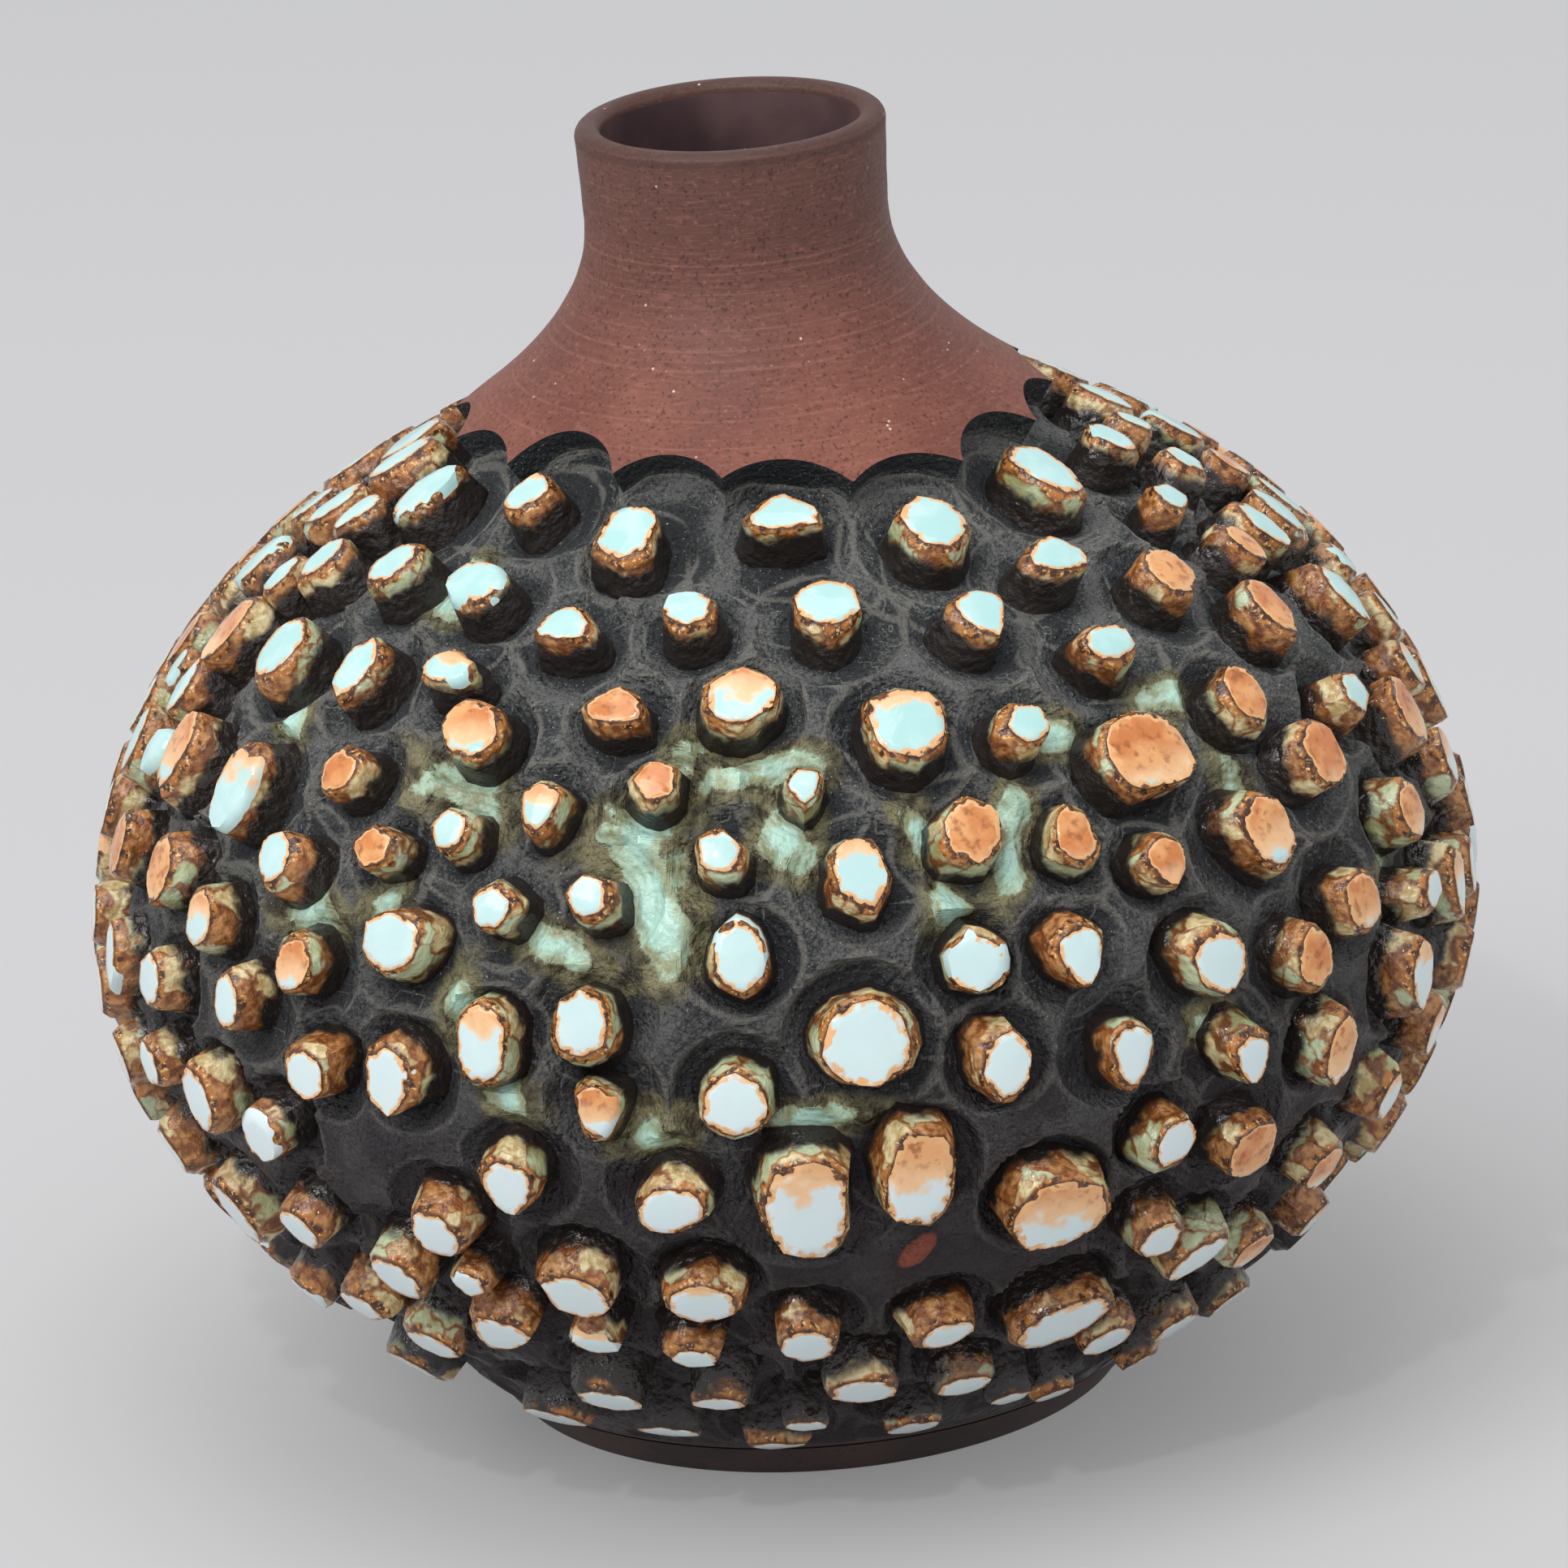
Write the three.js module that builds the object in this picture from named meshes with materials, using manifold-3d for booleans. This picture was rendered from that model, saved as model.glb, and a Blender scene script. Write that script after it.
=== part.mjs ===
import * as THREE from "three";
import { mergeVertices } from "three/addons/utils/BufferGeometryUtils.js";
import Module from "manifold-3d";

const wasm = await Module();
wasm.setup();

// Lengths are in millimetres and angles in degrees. +Z is up and the table is at z = 0.
// A place on the body is given as on a globe: a longitude, 0 at the front (-Y) and growing
// towards +X, and a latitude, 0 at the belly, as seen from the centre of the belly.

// The outer skin, from the table up
const bodyRadius = 115;
const footHeight = 6;
const footRadius = 52;
const bowlStartRadius = 56;
const bellyHeight = 82;
const bowlSpread = 22;
const bowlLift = 7;
const bellyDrop = 32;
const shoulderRise = 78;
const shoulderRadius = 62;
const shoulderReach = 22;
const flareRise = 40;
const flareReach = 16;
const neckRadius = 24.6;
const neckLength = 16;
const rimRadius = 25.2;
const rimRound = 1.6;

// Walls
const carvingDepth = 8;
const wallUnderCarving = 7;
const neckWall = 4.3;
const baseThickness = 10;
const footRingWidth = 12;

// Joints, luted with a film of slip
const luteGap = 0.3;
const tongueWidth = 2;
const tongueHeight = 4;
const neckLapHeight = 4;
const neckSeamLatitude = 72;
const neckTopLatitude = 77;
const coilBulge = 3;
const coilHeight = 16;

// The carved band and its scalloped upper edge
const carvingStartLatitude = -52;
const carvingFullLatitude = -42;
const carvingEndLatitude = 58.5;
const scallopStep = 0.4;
const scallopSides = 16;

// The scoops of the upper edge at the front: longitude, latitude and radius
const frontScoops = [
  [-67, 54, 16],
  [-42, 59.5, 11.5],
  [-18, 57, 13],
  [4, 54, 16.5],
  [29, 52, 17],
  [54, 55, 14],
  [79, 54, 15],
];
const backScoopCount = 8;
const backScoopLatitude = 54;
const backScoopRadius = 15;

// Studs
const studRoot = 2;
const studFlare = 1.2;
const studUnevenness = 0.08;
const bigStud = 13;
const smallStud = 8;

// The studs of the front half, as carved: longitude, latitude, width, height and how far the stud
// leans clockwise. Shapes other than oval are named.
const frontStuds = [
  [-92, 54, 9, 13, 0],
  [-70, 55, 8, 13.5, 0],
  [-45, 59, 6.5, 11, 32],
  [-21.5, 55.5, 8.5, 11.5, 5, "slab"],
  [4.5, 57.5, 12, 7.5, 0, "halfmoon"],
  [28, 53.5, 10.5, 12, 0],
  [55, 55, 9, 14, -10],
  [78, 53, 7, 9, 0],

  [-89, 47, 8, 12, 0],
  [-73.5, 44, 7, 10, 0],
  [-58.5, 47, 7.5, 10, 15],
  [-42, 47.5, 11, 9, 15],
  [-25.5, 44.5, 9.5, 7, 0, "halfmoon"],
  [-10, 46.5, 8.5, 7, 10],
  [8, 46, 10, 8.5, 0, "slab"],
  [26.5, 42, 10.5, 10, 0, "wedge"],
  [41.5, 46, 11, 8, 20, "halfmoon"],
  [54.5, 40, 9, 10.5, 0],
  [69, 45.5, 8, 6.5, 0],
  [84, 46, 7, 8, 0],

  [-91, 38, 9, 12, 0],
  [-79.5, 33.5, 8, 14, 0],
  [-65, 35.5, 10, 12.5, 0],
  [-50.5, 36.5, 7.5, 11, 0],
  [-38.5, 38.5, 9, 6, 0],
  [-32, 33, 11.5, 9, 35],
  [-16.5, 36.5, 9.5, 7, 0, "halfmoon"],
  [-3, 37, 11.5, 10, 0],
  [13.5, 33, 12, 12, 0, "slab"],
  [25.5, 31, 7.5, 7.5, 0],
  [39, 36, 9.5, 6.5, 0, "slab"],
  [71, 38, 6, 9, 0],
  [88, 36, 9, 11, 0],

  [-93, 28, 8, 10, 0],
  [-86, 20, 8, 12, 0],
  [-72, 23.5, 8.5, 14, 0],
  [-59, 23.5, 9, 14, 0],
  [-45.5, 27.5, 8, 7.5, 0],
  [-22.5, 27, 7.5, 8.5, 0, "wedge"],
  [-11.5, 29.5, 7, 7, 0],
  [2.5, 28.5, 6.5, 6, 0, "wedge"],
  [17, 23, 10, 10, 0],
  [36.5, 26, 14.5, 12.5, 0, "slab"],
  [51, 27.5, 8, 10.5, 0],
  [64, 32.5, 8, 12, 0],
  [80.5, 28, 9, 12, 0],

  [-77.5, 13, 7.5, 11, 0],
  [-66, 14.5, 8, 12, 0],
  [-49.5, 19.5, 7.5, 8.5, 0],
  [-38.5, 22, 8, 7, 0],
  [-31, 24.5, 6.5, 7, 0],
  [-25.5, 18.5, 7, 7.5, 20],
  [-17, 20, 7, 7, 0],
  [-5.5, 23.5, 7.5, 7, 30],
  [6.5, 21, 8.5, 11, -15],
  [26, 21, 6.5, 9, 0],
  [34, 17, 9.5, 7.5, 0, "wedge"],
  [45.5, 16.5, 10, 11, 0, "slab"],
  [56.5, 20, 9, 10.5, 0, "slab"],
  [66.5, 22.5, 8, 7, 0],
  [75, 18, 9.5, 13, 0],
  [84, 19, 7, 9, 0],

  [-84, 5, 8, 10, 0],
  [-57.5, 12.5, 7.5, 9.5, 0],
  [-44.5, 11.5, 7.5, 9.5, 20],
  [-34.5, 15, 11, 10, 0],
  [-17, 10, 8.5, 10, 0, "slab"],
  [-4, 15, 8.5, 12, 0],
  [15, 12.5, 9, 9, 0],
  [24, 11.5, 9.5, 10, 0, "wedge"],
  [36.5, 8, 11, 9.5, 0],
  [54, 8, 9, 9.5, 0, "slab"],
  [66, 12, 9, 9.5, 0],
  [80.5, 11.5, 8, 10, 0],

  [-91, -1, 8, 9, 0],
  [-74.5, 4.5, 6, 11, 0],
  [-64.5, 5.5, 8, 9, 0],
  [-52, 7, 6.5, 9, 0],
  [-42.5, 3, 8, 8.5, 0],
  [-34, 4, 8.5, 11.5, 0],
  [-25.5, 8, 8.5, 12, 0, "slab"],
  [-16, 3, 8.5, 8.5, 0, "wedge"],
  [-5, 3.5, 11, 10.5, 0],
  [5.5, 7.5, 14.5, 14, 0],
  [16.5, 4.5, 8.5, 11, 12],
  [27, 3, 9.5, 10.5, 0, "wedge"],
  [46.5, 5.5, 9, 10, 0],
  [66, 5, 8, 6, 0],
  [73, 3, 7, 11, 0],
  [90, 1, 8, 10, 0],

  [-76, -5, 8, 9, 0],
  [-65.5, -2, 8, 8, 0],
  [-57, -2.5, 8, 12, -15],
  [-49, -4, 8, 9, 0],
  [-24, -4, 11, 10.5, 0, "wedge"],
  [-11, -5.5, 11.5, 8.5, -15],
  [0, -6, 12.5, 18, 0, "slab"],
  [9, -4, 10.5, 16, 10, "slab"],
  [31, -5.5, 7, 8.5, 30],
  [38.5, -0.5, 8.5, 8.5, 0, "wedge"],
  [49, -3, 7.5, 11.5, 15],
  [62, -1, 8.5, 12.5, 0],
  [67.5, -8, 7, 9, 0],
  [79, -6, 8, 10, 0],

  [-70, -12, 9, 9, 0],
  [-60, -15, 9, 14, 0],
  [-48.5, -13, 7.5, 9, -20],
  [-38.5, -16, 9, 10, -30],
  [-30.5, -15, 6, 6, 0],
  [-32, -9.5, 9, 9.5, -25],
  [-20.5, -15.2, 11, 11, 0],
  [20.5, -9.8, 16.5, 15, 0],
  [31.5, -15.8, 8.5, 8, 25],
  [39.5, -9, 9.5, 10, 0, "slab"],
  [51.5, -15.5, 9, 9, 0],
  [60, -11.5, 8, 9, 0],
  [72, -20, 9, 11, 0],

  [-60, -26, 8, 8, 0],
  [-47.5, -22.5, 9, 8, 0],
  [-30.5, -21.5, 13, 9, -30, "halfmoon"],
  [-20.5, -21.5, 8, 6, 0],
  [-9.5, -15.6, 11.5, 9.5, 0],
  [-11.5, -23.5, 8, 5.5, 0],
  [-1, -22, 9, 9.5, 10],
  [12, -22.5, 9, 7, -25],
  [24, -24.5, 17, 11, -22],
  [37.5, -20.5, 12.5, 7, -27],
  [46.5, -23.5, 9, 9, 0],
  [59, -25, 8, 9, 0],

  [-54, -36, 11, 9, 0],
  [-41, -26.5, 10, 8, 0],
  [-35, -40.5, 12.5, 7.5, 0],
  [-23, -32.5, 11.5, 8, 0],
  [-11, -32, 9, 5, 0],
  [4.5, -31, 11, 9, 0],
  [15.5, -33, 9.5, 7.5, 0],
  [31.5, -30.5, 9.5, 8, 0],
  [43.5, -34, 9, 8, 0],
  [55, -35.5, 9, 9, 0],
  [71, -33, 9, 9, 0],

  [-64, -43, 9, 7, 0],
  [-19.5, -40.5, 11, 5, 0],
  [-2, -38.5, 7.5, 5.5, 0],
  [-6.5, -46, 9.5, 5, 0],
  [11.5, -43, 9, 7, 0],
  [23, -39, 7, 5.5, 0],
  [31, -42.5, 8, 5.5, 0],
  [47, -43.5, 8, 6, 0],
];

// The studs of the back half, in rows
const backRowLatitudes = [54, 45, 36, 27, 18, 9, 0, -9, -18, -27, -35.5, -43.5];
const backStart = 97;
const backEnd = 262;
const backStudSpacing = 23;
const backStudSizes = [7.5, 13];
const backRowWander = 2;

// Fineness of the faceted surfaces
const turns = 40;
const skinSteps = 240;
const flatness = 0.02;

// Finishes
const bareClay = new THREE.Color(0x7d4b40);
const footClay = new THREE.Color(0x4a2d28);
const carvedGround = new THREE.Color(0x2b2a2d);
const studTop = new THREE.Color(0xcfe8e8);
const studSide = new THREE.Color(0x8a5a34);

const radians = THREE.MathUtils.degToRad;

// A number from 0 to 1 that looks random and is the same each time.
function scatter(seed) {
  const wave = Math.sin(seed * 12.9898 + 4.1414) * 43758.5453;
  return wave - Math.floor(wave);
}

// The skin is a bowl, an elliptical dome, a hollow flare and a straight neck.
function skinCurves() {
  const bowl = new THREE.CubicBezierCurve(
    new THREE.Vector2(bowlStartRadius, footHeight),
    new THREE.Vector2(bowlStartRadius + bowlSpread, footHeight + bowlLift),
    new THREE.Vector2(bodyRadius, bellyHeight - bellyDrop),
    new THREE.Vector2(bodyRadius, bellyHeight),
  );
  const domeAxis = shoulderRise / Math.sqrt(1 - (shoulderRadius / bodyRadius) ** 2);
  const domeEnd = Math.acos(shoulderRadius / bodyRadius);
  const dome = new THREE.EllipseCurve(0, bellyHeight, bodyRadius, domeAxis, 0, domeEnd);
  const shoulder = new THREE.Vector2(shoulderRadius, bellyHeight + shoulderRise);
  const neckStart = new THREE.Vector2(neckRadius, shoulder.y + flareRise);
  const shoulderHandle = dome.getTangent(1).multiplyScalar(shoulderReach).add(shoulder);
  const neckHandle = new THREE.Vector2(neckRadius, neckStart.y - flareReach);
  const flare = new THREE.CubicBezierCurve(shoulder, shoulderHandle, neckHandle, neckStart);
  const neck = new THREE.LineCurve(
    neckStart,
    new THREE.Vector2(rimRadius, neckStart.y + neckLength),
  );
  return [bowl, dome, flare, neck];
}

const latitudeOf = (r, z) => THREE.MathUtils.radToDeg(Math.atan2(z - bellyHeight, r));

const skin = [];
for (const curve of skinCurves())
  for (let i = skin.length ? 1 : 0; i <= skinSteps; i++) {
    const point = curve.getPoint(i / skinSteps);
    const tangent = curve.getTangent(i / skinSteps);
    const normal = new THREE.Vector2(tangent.y, -tangent.x);
    skin.push({ point, normal, latitude: latitudeOf(point.x, point.y) });
  }
const vaseHeight = skin.at(-1).point.y;
const rimLatitude = skin.at(-1).latitude;
const footLatitude = skin[0].latitude;

// The skin's point and outward normal at a latitude.
function skinAt(latitude) {
  const next = skin.findIndex((s) => s.latitude >= latitude);
  if (next <= 0) return next ? skin.at(-1) : skin[0];
  const [a, b] = [skin[next - 1], skin[next]];
  const share = (latitude - a.latitude) / (b.latitude - a.latitude);
  return {
    point: a.point.clone().lerp(b.point, share),
    normal: a.normal.clone().lerp(b.normal, share).normalize(),
    latitude,
  };
}

// The point that lies at a depth under the skin.
function under(latitude, depth) {
  const { point, normal } = skinAt(latitude);
  return point.clone().addScaledVector(normal, -depth);
}

// How deep the carved ground lies: it fades out above the foot.
const carvedAt = (latitude) =>
  carvingDepth * THREE.MathUtils.smoothstep(latitude, carvingStartLatitude, carvingFullLatitude);

// How thick the wall is, from skin to inside: it thins from the carved band to the neck.
function wallAt(latitude) {
  const thinning = THREE.MathUtils.smoothstep(latitude, carvingEndLatitude, neckSeamLatitude);
  return THREE.MathUtils.lerp(carvingDepth + wallUnderCarving, neckWall, thinning);
}

const ground = (latitude) => under(latitude, carvedAt(latitude));
const inside = (latitude) => under(latitude, wallAt(latitude));

// Evenly spread latitudes, both ends included.
function latitudes(from, to, count) {
  return Array.from({ length: count }, (_, i) => from + ((to - from) * i) / (count - 1));
}

// A turned piece from a profile of radii and heights, listed anticlockwise.
function turned(profile) {
  const geometry = new THREE.LatheGeometry(profile, turns);
  geometry.rotateX(Math.PI / 2);
  return geometry;
}

const closed = (profile) => [...profile, profile[0].clone()];

function solidOf(geometry) {
  const bare = new THREE.BufferGeometry();
  bare.setAttribute("position", geometry.getAttribute("position"));
  if (geometry.index) bare.setIndex(geometry.index);
  const merged = mergeVertices(bare, 1e-4);
  const corners = merged.index.array;
  const kept = [];
  for (let i = 0; i < corners.length; i += 3) {
    const [a, b, c] = corners.subarray(i, i + 3);
    if (a !== b && b !== c && c !== a) kept.push(a, b, c);
  }
  return new wasm.Manifold(
    new wasm.Mesh({
      numProp: 3,
      vertProperties: new Float32Array(merged.getAttribute("position").array),
      triVerts: new Uint32Array(kept),
    }),
  );
}

function geometryOf(solid) {
  const mesh = solid.asOriginal().simplify(flatness).getMesh();
  const geometry = new THREE.BufferGeometry();
  geometry.setAttribute("position", new THREE.BufferAttribute(mesh.vertProperties, 3));
  geometry.setIndex(new THREE.BufferAttribute(mesh.triVerts, 1));
  const flat = geometry.toNonIndexed();
  flat.computeVertexNormals();
  return flat;
}

// The frame of a place on the skin, its z axis pointing straight out and its y axis uphill.
function placeOnSkin(longitude, latitude, depth = 0) {
  const { point, normal } = skinAt(latitude);
  const [sine, cosine] = [Math.sin(radians(longitude)), Math.cos(radians(longitude))];
  const east = new THREE.Vector3(cosine, sine, 0);
  const out = new THREE.Vector3(sine * normal.x, -cosine * normal.x, normal.y);
  const uphill = new THREE.Vector3().crossVectors(out, east);
  const position = new THREE.Vector3(sine * point.x, -cosine * point.x, point.y);
  position.addScaledVector(out, -depth);
  return new THREE.Matrix4().makeBasis(east, uphill, out).setPosition(position);
}

// A prism between two rings of points, both anticlockwise seen from outside.
function prism(lower, upper) {
  const count = lower.length;
  const positions = [...lower, ...upper].flatMap((p) => p.toArray());
  const faces = [];
  for (let i = 0; i < count; i++) {
    const j = (i + 1) % count;
    faces.push(i, j, count + j, i, count + j, count + i);
    if (i > 0 && i < count - 1) faces.push(0, i + 1, i, count, count + i, count + i + 1);
  }
  const geometry = new THREE.BufferGeometry();
  geometry.setAttribute("position", new THREE.Float32BufferAttribute(positions, 3));
  geometry.setIndex(faces);
  return geometry;
}

// A stud's outline for each named shape, as a point at an angle inside a square from -1 to 1.
const outlines = {
  oval: (c, s) => [c, s],
  slab: (c, s) => [Math.sign(c) * Math.abs(c) ** 0.6, Math.sign(s) * Math.abs(s) ** 0.6],
  halfmoon: (c, s) => [c, s > 0 ? 2 * s - 1 : -1 + 0.25 * Math.abs(c)],
  wedge: (c, s) => [c * (0.75 + 0.35 * s), s],
};

// A stud leans back from its flat top, which lies on the skin, to a wider root in the wall.
function stud([longitude, latitude, width, height, turn, shape = "oval"], seed, isFront) {
  const size = Math.max(width, height);
  const sides = (size > bigStud ? 6 : size > smallStud ? 5 : 4) + (isFront ? 1 : 0);
  const place = placeOnSkin(longitude, latitude);
  const lean = new THREE.Matrix4().makeRotationZ(-radians(turn));
  const frame = place.multiply(lean);
  const rings = [
    { depth: carvedAt(latitude) + studRoot, scale: studFlare },
    { depth: 0, scale: 1 },
  ].map(({ depth, scale }) =>
    Array.from({ length: sides }, (_, i) => {
      const angle = ((i + 0.5) / sides) * 2 * Math.PI;
      const uneven = 1 + studUnevenness * (2 * scatter(seed * 17 + i) - 1);
      const [x, y] = outlines[shape](Math.cos(angle), Math.sin(angle));
      const across = (width / 2) * uneven * scale;
      const along = (height / 2) * uneven * scale;
      return new THREE.Vector3(x * across, y * along, -depth).applyMatrix4(frame);
    }),
  );
  return solidOf(prism(...rings));
}

function backStuds() {
  const studs = [];
  const [smallest, largest] = backStudSizes;
  backRowLatitudes.forEach((row, rowIndex) => {
    const arc = radians(backEnd - backStart) * skinAt(row).point.x;
    const count = Math.round(arc / backStudSpacing);
    for (let i = 0; i < count; i++) {
      const seed = 1000 * (rowIndex + 1) + i;
      const share = (i + (rowIndex % 2 ? 0.25 : 0.75) + 0.3 * (scatter(seed) - 0.5)) / count;
      const latitude = row + backRowWander * (2 * scatter(seed + 0.3) - 1);
      const width = smallest + (largest - smallest) * scatter(seed + 0.5) ** 2;
      const height = width * (0.8 + 0.4 * scatter(seed + 0.7));
      const kinds = ["oval", "oval", "slab", "wedge", "halfmoon"];
      const shape = kinds[Math.floor(scatter(seed + 0.9) * kinds.length)];
      const turn = 60 * (scatter(seed + 0.1) - 0.5);
      studs.push([backStart + (backEnd - backStart) * share, latitude, width, height, turn, shape]);
    }
  });
  return studs;
}

const allStuds = [...frontStuds, ...backStuds()].map((s, i) => ({
  latitude: s[1],
  solid: stud(s, i + 1, i < frontStuds.length),
}));

// The studs of one bowl. One that hangs over the belly joint clears the other bowl's wall.
function studsOf(isUpper) {
  const own = allStuds.filter((s) => s.latitude >= 0 === isUpper).map((s) => s.solid);
  const away = isUpper ? -1 : 1;
  const seam = bellyHeight + (isUpper ? luteGap : 0);
  const reach = 25;
  const keepOut = latitudes(0, away * reach, 6).map((l) => under(l, carvedAt(l) - luteGap));
  keepOut[0].y = seam;
  const inner = bodyRadius - carvingDepth - wallUnderCarving - 1;
  const corners = [new THREE.Vector2(inner, keepOut.at(-1).y), new THREE.Vector2(inner, seam)];
  const ring = isUpper ? [...keepOut, ...corners].reverse() : [...keepOut, ...corners];
  return wasm.Manifold.union(own).subtract(solidOf(turned(closed(ring))));
}

// A cutter for one scoop, flat at the bottom, as the loop tool leaves it.
function scoop([longitude, latitude, radius]) {
  const floor = placeOnSkin(longitude, latitude, carvingDepth - scallopStep);
  const ring = (height) =>
    Array.from({ length: scallopSides }, (_, i) => {
      const angle = (i / scallopSides) * 2 * Math.PI;
      const [x, y] = [radius * Math.cos(angle), radius * Math.sin(angle)];
      return new THREE.Vector3(x, y, height).applyMatrix4(floor);
    });
  return solidOf(prism(ring(0), ring(2 * carvingDepth)));
}

// The scoops that leave a scalloped edge on the shoulder, evenly spread round the back.
function scallops() {
  const first = frontScoops.at(-1)[0];
  const step = (frontScoops[0][0] + 360 - first) / (backScoopCount + 1);
  const backScoops = Array.from({ length: backScoopCount }, (_, k) => [
    first + (k + 1) * step,
    backScoopLatitude,
    backScoopRadius,
  ]);
  return wasm.Manifold.union([...frontScoops, ...backScoops].map(scoop));
}

// Where the neck joint cuts the wall, on the skin and inside.
const neckSeam = skinAt(neckSeamLatitude).point;
const neckLapFoot = neckSeam.y - neckLapHeight;

// The inside of both bowls, from the floor to the neck joint, and its radius at a height.
const insideLine = latitudes(footLatitude, neckTopLatitude, 17).map(inside);
insideLine.splice(
  insideLine.findIndex((p) => p.y > bellyHeight),
  0,
  inside(0),
);
function insideRadius(height) {
  const next = insideLine.findIndex((p) => p.y >= height);
  const [a, b] = [insideLine[next - 1], insideLine[next]];
  return a.x + ((b.x - a.x) * (height - a.y)) / (b.y - a.y);
}
const neckLapRadius = (neckSeam.x + insideRadius(neckSeam.y)) / 2;

function lowerBowl() {
  const belly = inside(0).x;
  const middle = belly + wallUnderCarving / 2;
  const groove = tongueWidth / 2 + luteGap;
  const seat = footHeight + luteGap;
  const profile = [
    new THREE.Vector2(bowlStartRadius, seat),
    ...latitudes(footLatitude + 1, 0, 7).map(ground),
    new THREE.Vector2(middle + groove, bellyHeight),
    new THREE.Vector2(middle + groove, bellyHeight - tongueHeight - luteGap),
    new THREE.Vector2(middle - groove, bellyHeight - tongueHeight - luteGap),
    new THREE.Vector2(middle - groove, bellyHeight),
    ...insideLine.filter((p) => p.y <= bellyHeight).reverse(),
    new THREE.Vector2(insideLine[0].x, seat),
  ];
  return solidOf(turned(closed(profile))).add(studsOf(false));
}

function upperBowl() {
  const middle = inside(0).x + wallUnderCarving / 2;
  const seat = bellyHeight + luteGap;
  const profile = [
    ground(0).setY(seat),
    ...latitudes(0, carvingEndLatitude, 7).slice(1).map(ground),
    ...latitudes(carvingEndLatitude, neckSeamLatitude, 4).map((l) => under(l, 0)),
    new THREE.Vector2(neckLapRadius, neckSeam.y),
    new THREE.Vector2(neckLapRadius, neckLapFoot),
    new THREE.Vector2(insideRadius(neckLapFoot), neckLapFoot),
    ...insideLine.filter((p) => p.y > bellyHeight && p.y < neckLapFoot - 1).reverse(),
    inside(0).setY(seat),
    new THREE.Vector2(middle - tongueWidth / 2, seat),
    new THREE.Vector2(middle - tongueWidth / 2, bellyHeight - tongueHeight),
    new THREE.Vector2(middle + tongueWidth / 2, bellyHeight - tongueHeight),
    new THREE.Vector2(middle + tongueWidth / 2, seat),
  ];
  return solidOf(turned(closed(profile))).subtract(scallops()).add(studsOf(true));
}

// The rounded lip, from the outside of the rim over to its inside.
function lipProfile() {
  const outerCentre = rimRadius - rimRound;
  const innerCentre = rimRadius - neckWall + rimRound;
  return [0, 45, 90, 90, 135, 180].map((angle, i) => {
    const centre = i < 3 ? outerCentre : innerCentre;
    return new THREE.Vector2(
      centre + rimRound * Math.cos(radians(angle)),
      vaseHeight - rimRound * (1 - Math.sin(radians(angle))),
    );
  });
}

function neckCollar() {
  const seat = neckSeam.y + luteGap;
  const skirtFoot = neckLapFoot + luteGap;
  const lip = lipProfile();
  const wall = latitudes(neckSeamLatitude, rimLatitude, 7)
    .slice(1)
    .filter((l) => skinAt(l).point.y < lip[0].y - 1);
  return turned(
    closed([
      new THREE.Vector2(insideRadius(skirtFoot), skirtFoot),
      new THREE.Vector2(neckLapRadius - luteGap, skirtFoot),
      new THREE.Vector2(neckLapRadius - luteGap, seat),
      new THREE.Vector2(neckSeam.x, seat),
      ...wall.map((l) => under(l, 0)),
      ...lip,
      ...wall.map(inside).reverse(),
    ]),
  );
}

function footRing() {
  const inner = footRadius - footRingWidth;
  return turned(
    closed([
      new THREE.Vector2(inner, 0),
      new THREE.Vector2(footRadius, 0),
      new THREE.Vector2((footRadius + bowlStartRadius) / 2, footHeight / 2),
      new THREE.Vector2(bowlStartRadius, footHeight),
      new THREE.Vector2(inner, footHeight),
    ]),
  );
}

const baseRadius = insideLine[0].x - luteGap;
const baseTop = footHeight + luteGap + baseThickness;

function baseDisc() {
  return turned([
    new THREE.Vector2(0, footHeight + luteGap),
    new THREE.Vector2(baseRadius, footHeight + luteGap),
    new THREE.Vector2(baseRadius, baseTop),
    new THREE.Vector2(0, baseTop),
  ]);
}

// A coil pressed against the inside across a seam.
function seamCoil(seamHeight) {
  const share = [-1, -0.5, 0, 0.5, 1];
  const heights = share.map((t) => seamHeight + (t * coilHeight) / 2);
  const back = heights.map((z) => new THREE.Vector2(insideRadius(z) - luteGap, z));
  const face = back.map((p, i) => {
    const bulge = coilBulge * Math.cos((share[i] * Math.PI) / 2);
    return new THREE.Vector2(p.x - Math.max(bulge, luteGap), p.y);
  });
  return turned(closed([...back, ...face.reverse()]));
}

// The fillet in the corner between the slab and the bowl.
function floorCoil() {
  const corner = baseRadius - luteGap;
  const floor = baseTop + luteGap;
  return turned(
    closed([
      new THREE.Vector2(corner - 2 * coilBulge, floor),
      new THREE.Vector2(corner, floor),
      new THREE.Vector2(corner, floor + 2 * coilBulge),
      new THREE.Vector2(corner - 0.7 * coilBulge, floor + 0.7 * coilBulge),
    ]),
  );
}

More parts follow.
